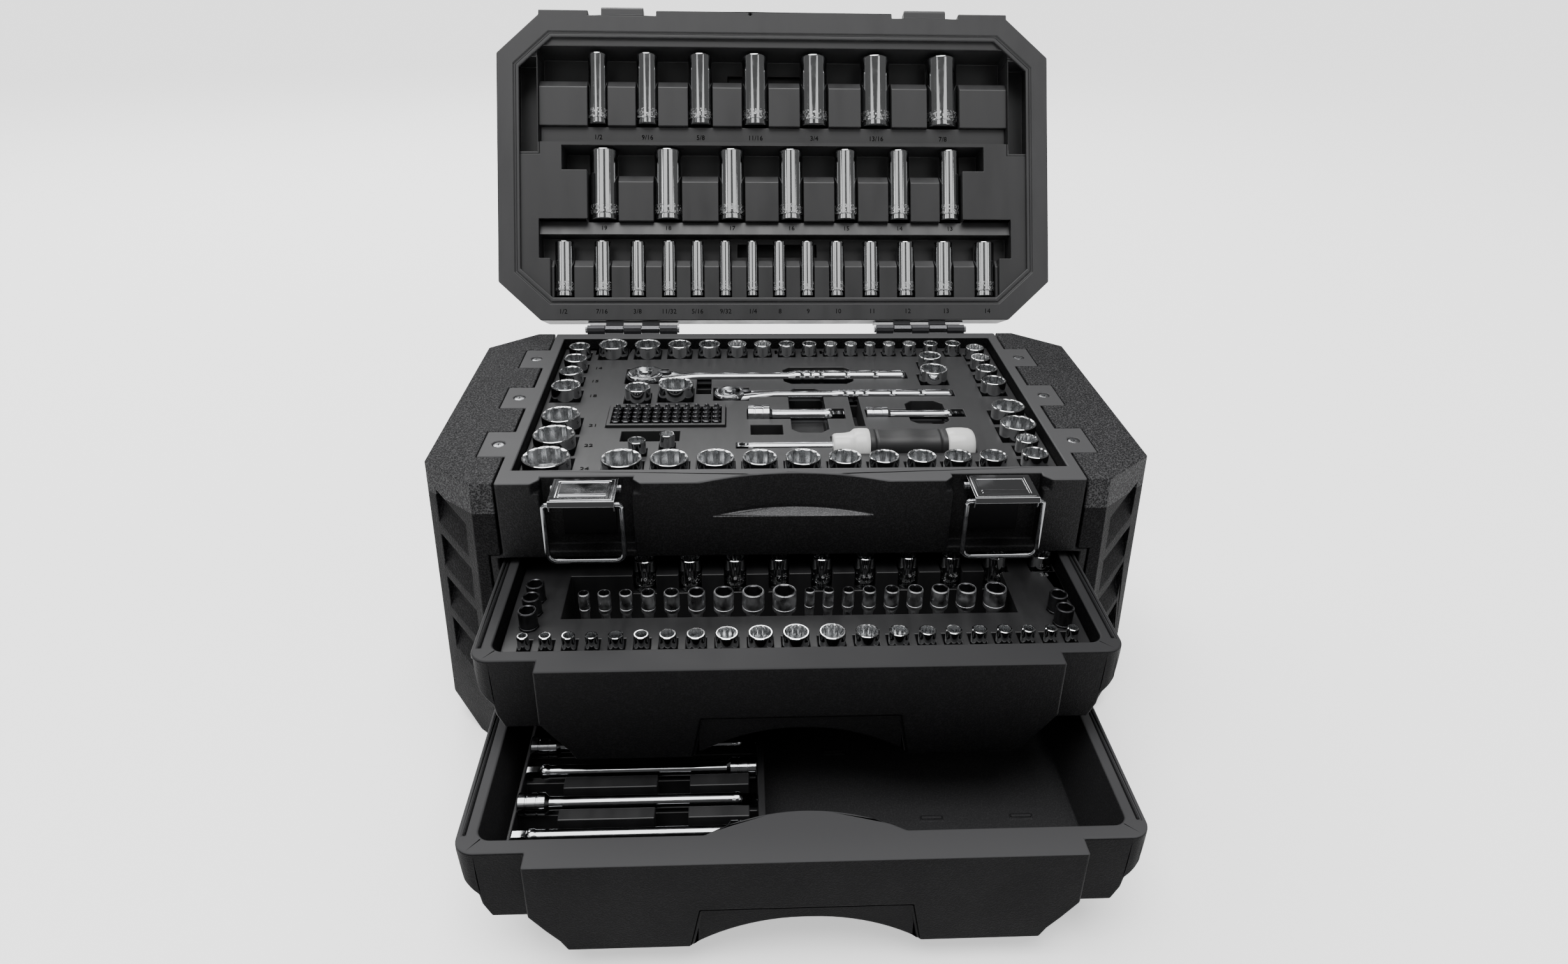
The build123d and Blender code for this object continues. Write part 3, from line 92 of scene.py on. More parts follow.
def add_node(tree, kind, settings=None, links=None):
    """Adds a shader node, gives it its settings and values, and links its inputs to sockets, or to
    the first outputs of nodes."""
    node = tree.nodes.new("ShaderNode" + kind)
    for name, value in (settings or {}).items():
        if isinstance(name, int) or name in node.inputs:
            node.inputs[name].default_value = value
        else:
            setattr(node, name, value)
    for name, source in (links or {}).items():
        if isinstance(source, bpy.types.Node):
            source = source.outputs[0]
        tree.links.new(source, node.inputs[name])
    return node


# Surfaces


def angles(sides):
    """Angles of the points round a ring: t = 2 pi k / sides."""
    return 2 * np.pi * np.arange(sides) / sides


def eased(t):
    """Smooth step from 0 to 1: t t (3 - 2 t)."""
    return t * t * (3 - 2 * t)


def turned(sides, stations, length=0.0, top=()):
    """Surface of revolution about Z: point = (r cos t, r sin t, s), where each station gives s and
    the radius r, a number or one value for each angle t, in millimetres. The top's stations count
    from the length."""
    turn = angles(sides)
    stations = stations + [(length + height, radius) for height, radius in top]
    along = np.array([station[0] for station in stations], float)[:, None] * np.ones(sides)
    radius = np.array([np.broadcast_to(station[1], sides) for station in stations], float)
    return np.stack([radius * np.cos(turn), radius * np.sin(turn), along], axis=-1) * MM


def lofted_bar(x, across, up, sides, power):
    """Bar along X with superellipse sections: y = a sgn(cos t)|cos t|^(2/p) and
    z = b sgn(sin t)|sin t|^(2/p), where half width a and half height b, in millimetres, follow
    x."""
    c, s = np.cos(angles(sides)), np.sin(angles(sides))
    y = across[:, None] * np.sign(c) * np.abs(c) ** (2 / power)
    z = up[:, None] * np.sign(s) * np.abs(s) ** (2 / power)
    return np.stack([x[:, None] + 0 * y, -y, z], axis=-1) * MM


def tube(path, radius, sides, side_axis):
    """Tube round a flat path: point = path + r (cos t n + sin t b), where b is square to the path's
    plane and n = b x tangent."""
    tangent = np.gradient(path, axis=0)
    tangent /= np.linalg.norm(tangent, axis=1)[:, None]
    b = np.array(side_axis, float)
    n = np.cross(b, tangent)
    turn = angles(sides)
    ring = np.cos(turn)[None, :, None] * n[:, None, :] + np.sin(turn)[None, :, None] * b
    body = path[:, None, :] + radius * ring
    ends = [np.repeat(path[:1, None, :], sides, 1), body, np.repeat(path[-1:, None, :], sides, 1)]
    return np.concatenate(ends)


def rounded_path(corners, radii, steps):
    """Path through corners, each replaced by the arc of its radius that touches both runs."""
    corners = [np.array(corner, float) for corner in corners]
    points = [corners[0]]
    for before, corner, after, radius in zip(corners, corners[1:], corners[2:], radii):
        a = (before - corner) / np.linalg.norm(before - corner)
        b = (after - corner) / np.linalg.norm(after - corner)
        half = np.arccos(np.clip(a @ b, -1, 1)) / 2
        middle = corner + (a + b) / np.linalg.norm(a + b) * radius / np.sin(half)
        start = corner + a * radius / np.tan(half) - middle
        end = corner + b * radius / np.tan(half) - middle
        sweep = np.pi - 2 * half
        t = np.linspace(0, 1, steps)[:, None]
        arc = (np.sin((1 - t) * sweep) * start + np.sin(t * sweep) * end) / np.sin(sweep)
        points.extend(middle + arc)
    points.append(corners[-1])
    return np.array(points)


def polygon(flat, sides, corners, first=0.0):
    """Radius of a regular polygon for each angle: flat / cos of the angle to the nearest flat,
    where the first flat lies at an angle in degrees."""
    step = 360.0 / corners
    turn = 360.0 * np.arange(sides) / sides
    return flat / np.cos(np.radians((turn - first + step / 2) % step - step / 2))


def placed(grid, matrix):
    """Grid of points moved by a matrix."""
    m = np.array(matrix)
    return grid @ m[:3, :3].T + m[:3, 3]


def on_foot(grid, low, high):
    """Grid stood on the middle of a solid's foot."""
    middle = (low + high) / 2
    return grid + np.array([middle[0], middle[1], low[2]])


def lid_matrix():
    """Turn from the closed lid's place to its open place, about the hinge pins."""
    there = Matrix.Translation(HINGE["pos_m"])
    return there @ Matrix.Rotation(-OPEN_ANGLE, 4, "X") @ there.inverted()


def solids(node, back=None):
    """Lowest and highest corner of each separate solid of a CAD node, from points, rounded to a
    micrometre, that share a triangle having the same lowest label."""
    mesh = NODES[node].data
    points = np.empty(len(mesh.vertices) * 3)
    mesh.vertices.foreach_get("co", points)
    corners = np.empty(len(mesh.loops), int)
    mesh.loops.foreach_get("vertex_index", corners)
    places, index = np.unique(np.round(points.reshape(-1, 3), 6), axis=0, return_inverse=True)
    faces = index.reshape(-1)[corners].reshape(-1, 3)
    label = np.arange(len(places))
    while True:
        update = label.copy()
        low = label[faces].min(axis=1)
        np.minimum.at(update, faces, np.repeat(low[:, None], 3, 1))
        update = update[update]
        if np.array_equal(update, label):
            break
        label = update
    if back is not None:
        places = placed(places, back)
    found = [places[label == value] for value in np.unique(label)]
    return [(part.min(0), part.max(0)) for part in found]


def face_indices(rows, columns, offset):
    """Corner numbers of a grid's quads, closed round its columns, facing outwards."""
    i = np.arange(rows - 1)[:, None] * columns
    j = np.arange(columns)[None, :]
    k = (j + 1) % columns
    quads = np.stack([i + j, i + k, i + columns + k, i + columns + j], -1)
    return quads.reshape(-1, 4) + offset


def shaded(mesh, sharp):
    """Smooth shading, with sharp edges where faces turn by more than an angle in degrees."""
    mesh.polygons.foreach_set("use_smooth", np.ones(len(mesh.polygons), bool))
    mesh.set_sharp_from_angle(angle=math.radians(sharp))


def piece_from(node, ending, grids, key, sharp=32.0, inside=None):
    """One object for a CAD node, named for it and finished, from closed grids, each a surface in
    metres. Its map holds the way round and along each grid in metres, the second from the edge of
    its foot. Points that coincide are merged, which closes the poles. The strips that line a mouth
    may have their own finish."""
    points, faces, maps, tones, offset = [], [], [], [], 0
    for grid in grids:
        rows, columns = grid.shape[:2]
        points.append(grid.reshape(-1, 3))
        faces.append(face_indices(rows, columns, offset))
        steps = np.linalg.norm(np.diff(grid, axis=0), axis=-1).max(axis=1)
        v = np.concatenate([[0], np.cumsum(steps)]) - steps[0]
        girth = np.linalg.norm(np.roll(grid, -1, 1) - grid, axis=-1).sum(axis=1).max()
        u = np.arange(columns + 1) * girth / columns
        wide = np.stack(np.broadcast_arrays(u[None, :], v[:, None]), -1)
        corners = [wide[:-1, :-1], wide[:-1, 1:], wide[1:, 1:], wide[1:, :-1]]
        maps.append(np.stack(corners, axis=2).reshape(-1, 2))
        tones.append(np.repeat(np.arange(rows - 1) >= rows - 1 - MOUTH_STRIPS, columns))
        offset += rows * columns
    mesh = bpy.data.meshes.new(node + ending)
    mesh.from_pydata(np.concatenate(points).tolist(), [], np.concatenate(faces).tolist())
    layer = mesh.uv_layers.new(name="Surface")
    layer.data.foreach_set("uv", np.concatenate(maps).ravel())
    mesh.materials.append(finish(key))
    if inside is not None:
        mesh.materials.append(finish(inside))
        mesh.polygons.foreach_set("material_index", np.concatenate(tones).astype(np.int32))
    work = bmesh.new()
    work.from_mesh(mesh)
    bmesh.ops.remove_doubles(work, verts=work.verts, dist=SAME_PLACE)
    bmesh.ops.dissolve_degenerate(work, dist=NO_LENGTH, edges=work.edges)
    bmesh.ops.recalc_face_normals(work, faces=work.faces)
    work.to_mesh(mesh)
    work.free()
    shaded(mesh, sharp)
    joined_to(mesh.name, mesh, node)


def shown(name, data):
    """New object in the scene that shows the data."""
    item = bpy.data.objects.new(name, data)
    bpy.context.scene.collection.objects.link(item)
    return item


def joined_to(name, mesh, node, replace=True):
    """Object for a mesh that rides on the body of a CAD node, and stands for the node or adds to
    it."""
    piece = shown(name, mesh)
    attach(piece, NODES[node]["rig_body"])
    if replace:
        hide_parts(node)
    return piece


def softened(node, key, width, angle=25.0, segments=2):
    """Copy of a CAD node with its points merged, its flat faces joined, and the edges that turn by
    more than an angle in degrees rounded by a width in millimetres."""
    mesh = NODES[node].data.copy()
    mesh.name = node + "_soft"
    if "custom_normal" in mesh.attributes:
        mesh.attributes.remove(mesh.attributes["custom_normal"])
    work = bmesh.new()
    work.from_mesh(mesh)
    bmesh.ops.remove_doubles(work, verts=work.verts, dist=SAME_CAD_PLACE)
    bmesh.ops.join_triangles(
        work, faces=work.faces, cmp_seam=False, cmp_sharp=False, cmp_uvs=False, cmp_vcols=False,
        cmp_materials=False, angle_face_threshold=math.radians(0.5),
        angle_shape_threshold=math.radians(60))
    work.to_mesh(mesh)
    work.free()
    shaded(mesh, angle)
    mesh.materials.clear()
    mesh.materials.append(finish(key))
    piece = joined_to(node + "_soft", mesh, node)
    edge = piece.modifiers.new("Edge round", "BEVEL")
    edge.width = width * MM
    edge.segments = segments
    edge.limit_method = "ANGLE"
    edge.angle_limit = math.radians(angle)
    edge.use_clamp_overlap = False
    edge.harden_normals = True


def dressed(node, key):
    """Gives a CAD node that stays its finish."""
    NODES[node].data.materials.clear()
    NODES[node].data.materials.append(finish(key))


def lettering(name, labels, key, node, size, depth, turn, carry=None):
    """Raised figures: each label has its words and its middle in millimetres. The turn lays the
    words on their face, and a second matrix may carry them with the lid."""
    meshes = []
    for words, place in labels:
        curve = bpy.data.curves.new(name, "FONT")
        curve.body = words
        curve.size = size * MM
        curve.extrude = depth * MM
        curve.resolution_u = 2
        curve.align_x = "CENTER"
        curve.align_y = "CENTER"
        holder = bpy.data.objects.new(name, curve)
        mesh = bpy.data.meshes.new_from_object(holder)
        mesh.transform(Matrix.Translation(Vector(place) * MM) @ turn)
        meshes.append(mesh)
        bpy.data.objects.remove(holder)
        bpy.data.curves.remove(curve)
    work = bmesh.new()
    for mesh in meshes:
        work.from_mesh(mesh)
        bpy.data.meshes.remove(mesh)
    bmesh.ops.remove_doubles(work, verts=work.verts, dist=NO_LENGTH)
    bmesh.ops.recalc_face_normals(work, faces=work.faces)
    whole = bpy.data.meshes.new(name)
    work.to_mesh(whole)
    work.free()
    if carry is not None:
        whole.transform(carry)
    whole.materials.append(finish(key))
    joined_to(name, whole, node, replace=False)


# Materials


def shader_of(name):
    """New material with its tree, its shader and the object's own coordinates."""
    material = bpy.data.materials.new(name)
    material.use_nodes = True
    tree = material.node_tree
    shader = next(node for node in tree.nodes if node.type == "BSDF_PRINCIPLED")
    place = add_node(tree, "TexCoord").outputs["Object"]
    return material, tree, shader, place


def skin(tree, shader, stain, low, high, relief, strength, depth, start=0.3):
    """Roughness that goes from low to high as the stain goes from its start to 0.7, and a bump in
    millimetres that follows the relief. Gives back both, for what is laid over them."""
    polish = add_node(tree, "MapRange", {"From Min": start, "From Max": 0.7, "To Min": low,
                                         "To Max": high}, {"Value": stain})
    bump = add_node(tree, "Bump", {"Strength": strength, "Distance": depth * MM},
                    {"Height": relief})
    tree.links.new(polish.outputs[0], shader.inputs["Roughness"])
    tree.links.new(bump.outputs[0], shader.inputs["Normal"])
    return polish, bump


def moulded_polypropylene(name, colour, light, grain, depth, rough, gloss, rim=None,
                          rim_painted_sheen=None, flat=None):
    """Moulded polypropylene: a grained skin whose pits scatter the light, smooth where the mould
    was polished. The grain is the width of one cell in millimetres, the depth its height, the gloss
    the share of the usual mirror light that the pits let through, and the rim the height above
    which the faces are polished, with a softer bump, and painted in the rim's paler colour, a
    painted sheen. The flat is a box, by its middle and half sizes, whose faces get a painted light
    in the two tones that follow. Cells are drawn coarser than the mould's, to show."""
    material, tree, shader, place = shader_of(name)
    shader.inputs["Specular IOR Level"].default_value = gloss
    cells = add_node(tree, "TexVoronoi", {"Scale": 1 / (grain * MM)}, {"Vector": place})
    fine = add_node(tree, "TexNoise", {"Scale": 1.9 / (grain * MM), "Detail": 3.0,
                                       "Roughness": 0.6}, {"Vector": place})
    cloud = add_node(tree, "TexNoise", {"Scale": 22.0, "Detail": 4.0}, {"Vector": place})
    height = add_node(tree, "Math", {"operation": "MULTIPLY_ADD", 1: 0.7},
                      {0: cells.outputs["Distance"], 2: fine})
    speck = add_node(tree, "MapRange", {"From Min": 0.72, "From Max": 1.12}, {"Value": height})
    shade = add_node(tree, "Mix", {"data_type": "RGBA", 6: linear(colour), 7: linear(light)},
                     {0: speck})
    # Painted light: within the flat's box the colour turns to paler speckled tones, where light
    # falls on the faces
    if flat is not None:
        shade = rubbed_flat(tree, place, shade, speck, *flat)
    bump = skin(tree, shader, cloud, rough - 0.05, rough + 0.07, height, 0.9, depth)[1]
    # Above the rim the bump is softer for the polish, and the colour turns to the rim's paler tone,
    # a painted sheen
    if rim is not None:
        split = add_node(tree, "SeparateXYZ", None, {0: place})
        level = add_node(tree, "MapRange", {"From Min": (rim - 0.5) * MM, "From Max": rim * MM},
                         {"Value": split.outputs[2]})
        shade = add_node(tree, "Mix", {"data_type": "RGBA", 7: linear(rim_painted_sheen)},
                         {0: level, 6: shade.outputs[2]})
        soft = add_node(tree, "MapRange", {"To Min": 0.9, "To Max": 0.05}, {"Value": level})
        tree.links.new(soft.outputs[0], bump.inputs["Strength"])
    tree.links.new(shade.outputs[2], shader.inputs["Base Color"])
    return material


def rubbed_flat(tree, place, shade, speck, middle, half, dark, pale):
    """Painted light: colour that turns paler and speckled within a box, over faces that catch the
    light; its share is one where every coordinate lies within half a size of the middle."""
    mottled = add_node(tree, "Mix", {"data_type": "RGBA", 6: linear(dark), 7: linear(pale)},
                       {0: speck})
    split = add_node(tree, "SeparateXYZ", None, {0: place})
    share = None
    for axis in range(3):
        within = add_node(tree, "Math", {"operation": "COMPARE", 1: middle[axis] * MM,
                                         2: half[axis] * MM}, {0: split.outputs[axis]})
        if share is not None:
            within = add_node(tree, "Math", {"operation": "MULTIPLY"}, {0: share, 1: within})
        share = within
    return add_node(tree, "Mix", {"data_type": "RGBA"},
                    {0: share, 6: shade.outputs[2], 7: mottled.outputs[2]})


def satin_polypropylene(name, colour, light, rough, depth=0.05, gloss=0.5):
    """Satin moulded polypropylene: nearly even, with the faint flow marks and rubbed spots that a
    polished mould leaves. The gloss is the share of mirror light that the skin gives back. Its
    flow marks are 17 mm wide and four times as long, and its tooth is 0.7 mm wide, with its depth
    in millimetres."""
    material, tree, shader, place = shader_of(name)
    shader.inputs["Specular IOR Level"].default_value = gloss
    stretch = add_node(tree, "Mapping", {"Scale": (1.0, 0.25, 0.25)}, {"Vector": place})
    flow = add_node(tree, "TexNoise", {"Scale": 60.0, "Detail": 5.0, "Roughness": 0.55},
                    {"Vector": stretch})
    fine = add_node(tree, "TexNoise", {"Scale": 1400.0, "Detail": 2.0}, {"Vector": place})
    part = add_node(tree, "MapRange", {"From Min": 0.35, "From Max": 0.75}, {"Value": flow})
    shade = add_node(tree, "Mix", {"data_type": "RGBA", 6: linear(colour), 7: linear(light)},
                     {0: part})
    tree.links.new(shade.outputs[2], shader.inputs["Base Color"])
    skin(tree, shader, flow, rough - 0.06, rough + 0.08, fine, 0.35, depth)
    return material


def chrome_plate(name, colour, rough, wave, band=None):
    """Plated steel, polished: it mirrors the room, with a faint wave left by polishing, 6 mm long
    and some micrometres deep, and, on a socket, stamped marks between two heights along its side.
    The marks are cells of 1.8 mm, the size of small stamped figures."""
    material, tree, shader, place = shader_of(name)
    shader.inputs["Metallic"].default_value = 1.0
    shader.inputs["Base Color"].default_value = linear(colour)
    ripple = add_node(tree, "TexNoise", {"Scale": 160.0, "Detail": 3.0}, {"Vector": place})
    wipe, bump = skin(tree, shader, ripple, rough * 0.7, rough * 1.6, ripple, 0.3, wave, 0.35)
    if band is not None:
        way = add_node(tree, "TexCoord").outputs["UV"]
        along = add_node(tree, "SeparateXYZ", None, {0: way}).outputs[1]
        above = add_node(tree, "Math", {"operation": "GREATER_THAN", 1: band[0] * MM}, {0: along})
        below = add_node(tree, "Math", {"operation": "LESS_THAN", 1: band[1] * MM}, {0: along})
        inside = add_node(tree, "Math", {"operation": "MULTIPLY"}, {0: above, 1: below})
        marks = add_node(tree, "TexVoronoi", {"Scale": 560.0, "distance": "CHEBYCHEV"},
                         {"Vector": way})
        step = add_node(tree, "Math", {"operation": "LESS_THAN", 1: 0.36},
                        {0: marks.outputs["Distance"]})
        cut = add_node(tree, "Math", {"operation": "MULTIPLY"}, {0: inside, 1: step})
        press = add_node(tree, "Bump", {"Strength": 0.8, "Distance": 0.15 * MM, "invert": True},
                         {"Height": cut, "Normal": bump})
        worn = add_node(tree, "Mix", {"data_type": "FLOAT", 3: 0.38}, {0: cut, 2: wipe})
        tree.links.new(worn.outputs[0], shader.inputs["Roughness"])
        tree.links.new(press.outputs[0], shader.inputs["Normal"])
    return material


def hardened_steel(name, colour, rough):
    """Hardened steel with a phosphate skin: dark, satin and slightly mottled, in spots of about a
    millimetre."""
    material, tree, shader, place = shader_of(name)
    shader.inputs["Metallic"].default_value = 1.0
    shader.inputs["Base Color"].default_value = linear(colour)
    spots = add_node(tree, "TexNoise", {"Scale": 900.0, "Detail": 4.0}, {"Vector": place})
    skin(tree, shader, spots, rough - 0.08, rough + 0.12, spots, 0.3, 0.05)
    return material


def soft_grip(name, colour, rough):
    """Moulded grip rubber: matt, with an even tooth, drawn half a millimetre wide so that it
    shows."""
    material, tree, shader, place = shader_of(name)
    shader.inputs["Base Color"].default_value = linear(colour)
    tooth = add_node(tree, "TexNoise", {"Scale": 2200.0, "Detail": 2.0}, {"Vector": place})
    skin(tree, shader, tooth, rough - 0.05, rough + 0.05, tooth, 0.4, 0.06)
    return material


# Boxes of painted light: middle and half sizes in millimetres, then the dark and the pale tone
# Painted light on the upward ledge below the housing's grip
GRIP_LEDGE_PAINTED_LIGHT = ((0.0, -135.0, 192.0), (54.0, 10.0, 0.5), "#4a4a4b", "#6a6a6b")
# Painted light inside the lower drawer, which lies in shade
DRAWER_INSIDE_PAINTED_LIGHT = ((0.0, -191.5, 61.0), (187.2, 127.0, 24.9), "#252526", "#2e2e2f")
# Painted sheen on the tops of the side covers
COVER_TOP_PAINTED_SHEEN = ((0.0, 0.0, 207.2), (260.0, 150.0, 11.4), "#1a1a1b", "#49494a")

# Values of each finish, in the order in which its maker takes them
FINISH_VALUES = {
    moulded_polypropylene: {
        # The cover's box is a painted sheen on its top faces
        "cover": ("polypropylene_moulded_coarse_grain", "#040405", "#19191a", 1.25, 0.40, 0.50,
                  0.05, None, None, COVER_TOP_PAINTED_SHEEN),
        # The housing's rim colour is a painted sheen on its top faces, and its box a painted light
        # on the grip ledge
        "housing": ("polypropylene_moulded_grain_and_smooth_rim", "#0a0a0b", "#1c1c1d", 1.1, 0.24,
                    0.48, 0.12, 217.5, "#454546", GRIP_LEDGE_PAINTED_LIGHT),
        # The drawers' rim colours are painted sheen on their top faces, and the lower drawer's box
        # a painted light inside it
        "upper_drawer": ("polypropylene_moulded_upper_drawer", "#060607", "#131314", 1.0, 0.16,
                         0.48, 0.08, 155.6, "#303031"),
        "lower_drawer": ("polypropylene_moulded_lower_drawer", "#050506", "#101011", 1.0, 0.16,
                         0.48, 0.05, 85.6, "#404041", DRAWER_INSIDE_PAINTED_LIGHT),
    },
    satin_polypropylene: {
        "lid": ("polypropylene_moulded_satin", "#2a2a2b", "#303031", 0.46, 0.05, 0.42),
        "insert": ("polypropylene_sheet_formed", "#222223", "#282829", 0.46, 0.05, 0.44),
        "lid_insert": ("polypropylene_sheet_formed_in_lid", "#1d1d1e", "#232324", 0.46),
        "deep_insert": ("polypropylene_sheet_formed_dark", "#19191a", "#202021", 0.42),
        # The figures' near-black colour and slight gloss are a painted shade for the shadow round
        # the raised figures
        "letters": ("polypropylene_moulded_figures", "#030303", "#050505", 0.60, 0.02, 0.05),
        "pale_letters": ("polypropylene_moulded_pale_figures", "#5c5c5d", "#666667", 0.40),
        "white": ("abs_moulded_gloss_white", "#d2d2d0", "#dadad8", 0.22, 0.01),
    },
    chrome_plate: {
        "socket": ("steel_chrome_plated_sockets", "#c6c7c8", 0.08, 0.010, (5.6, 15.0)),
        "mouth": ("steel_chrome_plated_broached_mouths", "#c0c1c2", 0.21, 0.004),
        "tool": ("steel_chrome_plated_tools", "#a0a1a3", 0.11, 0.012),
        "driver": ("steel_satin_plated_drivers", "#bcbdbf", 0.36, 0.010),
        "sheet": ("steel_nickel_plated_sheet", "#a2a3a5", 0.05, 0.0015),
        "wire": ("steel_nickel_plated_wire", "#7d7e80", 0.16, 0.004),
    },
    hardened_steel: {
        "bracket": ("steel_blackened_brackets", "#1c1c1d", 0.45),
        "bit": ("steel_phosphated_bits", "#4a4a4c", 0.36),
        "screw": ("steel_zinc_plated_screws", "#9a9b9d", 0.30),
    },
    soft_grip: {"grip": ("thermoplastic_rubber_moulded", "#19191a", 0.55)},
}
FINISHES = {}


def finish(key):
    """The finish of that name, made once."""
    if key not in FINISHES:
        maker = next(maker for maker, values in FINISH_VALUES.items() if key in values)
        FINISHES[key] = maker(*FINISH_VALUES[maker][key])
    return FINISHES[key]


# Tools, turned from stations of a height and a radius in millimetres

SOCKET_WALL = 1.15
DEEPEST_MOUTH = 14.0
# Radius of a mouth's circle over half the width across its flats
MOUTH_OVER_FLAT = 1.17


def socket_grid(width, length, sides):
    """Socket along +Z from its drive end: side with a rolled groove, rounded rim and a mouth that
    tapers in from a circle to twelve points, whose radius is the larger of two hexagons."""
    r = width / 2
    mouth = r - SOCKET_WALL
    flat = mouth / MOUTH_OVER_FLAT
    depth = min(0.45 * length, DEEPEST_MOUTH)
    star = np.maximum(polygon(flat, sides, 6), polygon(flat, sides, 6, 30))
    foot = [(0.0, 0.0), (0.0, r - 1.4), (0.15, r - 0.9), (0.7, r - 0.35), (3.4, r - 0.35),
            (3.6, r - 0.9), (4.9, r - 0.9), (5.2, r - 0.1), (5.6, r), (6.2, r)]
    top = [(-1.4, r), (-0.8, r), (-0.3, r - 0.15), (0, r - 0.55), (0, mouth),
           (-0.5, star * 1.005), (-depth, star * 0.985), (-depth - 1.2, flat * 0.7),
           (-depth - 1.2, 0.0)]
    return turned(sides, foot, length, top)


def standing(node):
    """Sockets that stand where a CAD node's solids stand, the narrow ones with fewer sides."""
    grids = []
    for low, high in solids(node):
        width, _, length = (high - low) / MM
        grids.append(on_foot(socket_grid(width, length, 48 if width > 15 else 24), low, high))
    return grids


def lying_in_lid(node):
    """Deep sockets that lie in the lid, mouths away from the hinge."""
    grids = []
    opened = lid_matrix()
    for low, high in solids(node, opened.inverted()):
        width, length, _ = (high - low) / MM
        middle = (low + high) / 2
        there = Matrix.Translation((middle[0], high[1], middle[2]))
        stand = there @ Matrix.Rotation(QUARTER_TURN, 4, "X")
        grids.append(placed(socket_grid(width, length, 48), opened @ stand))
    return grids


def ratchet_grids(low, high, head):
    """Ratchet: a round head turned about Z, a handle of superellipse sections along X whose half
    width eases from the head's into the shaft's, swells at the grip and dips by
    0.7 exp(-((x - place) / 1.1)^2) at each groove, and a switch whose half width follows the root
    of a sine. Its sizes in millimetres are those of a head of 16 mm radius, scaled."""
    size = head / 16.0
    y = (low[1] + high[1]) / 2
    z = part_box("spinner_shaft")[0][2] + 4.5 * MM
    centre = low[0] / MM + head
    end = high[0] / MM
    grip_start = end - 100
    out = [(-5.0, 0.0), (-5.0, 0.8 * head), (-4.2, 0.93 * head), (-2.5, head), (3.5, head),
           (5.4, 0.94 * head), (6.0, 0.86 * head), (6.0, 0.66 * head), (6.5, 0.64 * head),
           (6.5, 0.42 * head), (6.2, 0.41 * head), (6.2, 0.34 * head), (7.8, 0.33 * head),
           (8.3, 0.29 * head), (8.3, 0.0)]
    disc = turned(64, [(s * size, r) for s, r in out]) + np.array([centre * MM, y, z])
    x = np.concatenate([np.linspace(centre + 0.55 * head, centre + 3.2 * head, 26),
                        np.linspace(centre + 3.3 * head, grip_start - 1, 8),
                        np.linspace(grip_start - 0.5, end, 121)])
    ease = eased(np.clip((x - centre) / (3.0 * head), 0, 1))
    shaft_across, shaft_up = 5.2 * size, 5.0 * size
    across = (0.82 * head) * (1 - ease) + shaft_across * ease
    up = shaft_across * (1 - ease) + shaft_up * ease
    groove = np.zeros_like(x)
    for place in (end - 88, end - 80, end - 72, end - 50, end - 26):
        groove = np.maximum(groove, np.exp(-((x - place) / 1.1) ** 2))
    swell = np.clip((x - grip_start) / 6, 0, 1) * 1.5 * size - groove * 0.7
    cap = np.sqrt(np.clip(1 - np.clip((x - (end - 4)) / 4, 0, 1) ** 2, 0, 1))
    across = (across + swell) * cap
    up = (up + swell) * cap
    across[0] = up[0] = 0.0
    bar = lofted_bar(x, across, up, 32, 2.3) + np.array([0, y, z])
    way = np.linspace(0, 1, 14)
    bulge = np.sin(np.pi * way) ** 0.5
    x = centre + 0.62 * head + way * 0.75 * head
    switch = lofted_bar(x, 3.2 * size * bulge, 2.0 * size * bulge, 16, 2.5)
    return [disc, bar], [switch + np.array([0, y, z + 5.6 * size * MM])]


def bar_grid(low, high, head_first):
    """Extension bar along X: knurled head with a square hole, waisted shaft and square drive."""
    length = (high[0] - low[0]) / MM
    radius = (high[1] - low[1]) / MM / 2
    sides = 48
    box = polygon(radius * 0.35, sides, 4)
    shaft = radius * 0.62
    knurl = radius - 0.18 * (np.arange(sides) % 2)
    head = [(5.0, 0.0), (5.0, box), (0.4, box), (0.0, radius * 0.8), (0.0, radius - 0.5),
            (0.5, radius), (4.5, radius), (4.7, radius - 0.5), (5.6, radius - 0.5), (5.8, knurl),
            (11.0, knurl), (11.2, radius - 0.5), (12.0, radius - 0.5), (12.2, radius),
            (16.5, radius), (19.0, shaft + 0.2), (22.0, shaft), (23.0, shaft)]
    drive = [(-16, shaft), (-15, shaft), (-14, shaft + 0.5), (-11, shaft + 0.5), (-10, shaft),
             (-9, box * 1.02), (-1, box), (0, box * 0.85), (0, 0.0)]
    way = Matrix.Rotation(QUARTER_TURN if head_first else -QUARTER_TURN, 4, "Y")
    start = low[0] if head_first else high[0]
    there = Matrix.Translation((start, (low[1] + high[1]) / 2, (low[2] + high[2]) / 2))
    return placed(turned(sides, head, length, drive), there @ way)


def nut_driver_grid(low, high):
    """Nut driver: hexagon shank with a catch groove, waist and head with a six sided mouth."""
    sides = 24
    length = (high[2] - low[2]) / MM
    r = (high[0] - low[0]) / MM / 2
    shank = polygon(3.0, sides, 6, 30)
    flat = r * 0.72
    mouth = polygon(flat, sides, 6, 30)
    foot = [(0.0, 0.0), (0.0, 2.4), (0.8, shank), (7.0, shank), (7.8, 2.3), (9.6, 2.3),
            (10.4, shank)]
    head = [(-22, shank), (-21, max(3.0, r * 0.6)), (-17, max(3.0, r * 0.7)), (-14.8, r - 0.3),
            (-14.2, r), (-12.0, r), (-11.8, r - 0.4), (-10.8, r - 0.4), (-10.6, r), (-0.6, r),
            (0, r - 0.5), (0, flat * MOUTH_OVER_FLAT), (-0.5, mouth), (-9, mouth * 0.98),
            (-9.6, flat * 0.5), (-10, 0.0)]
    return on_foot(turned(sides, foot, length, head), low, high)


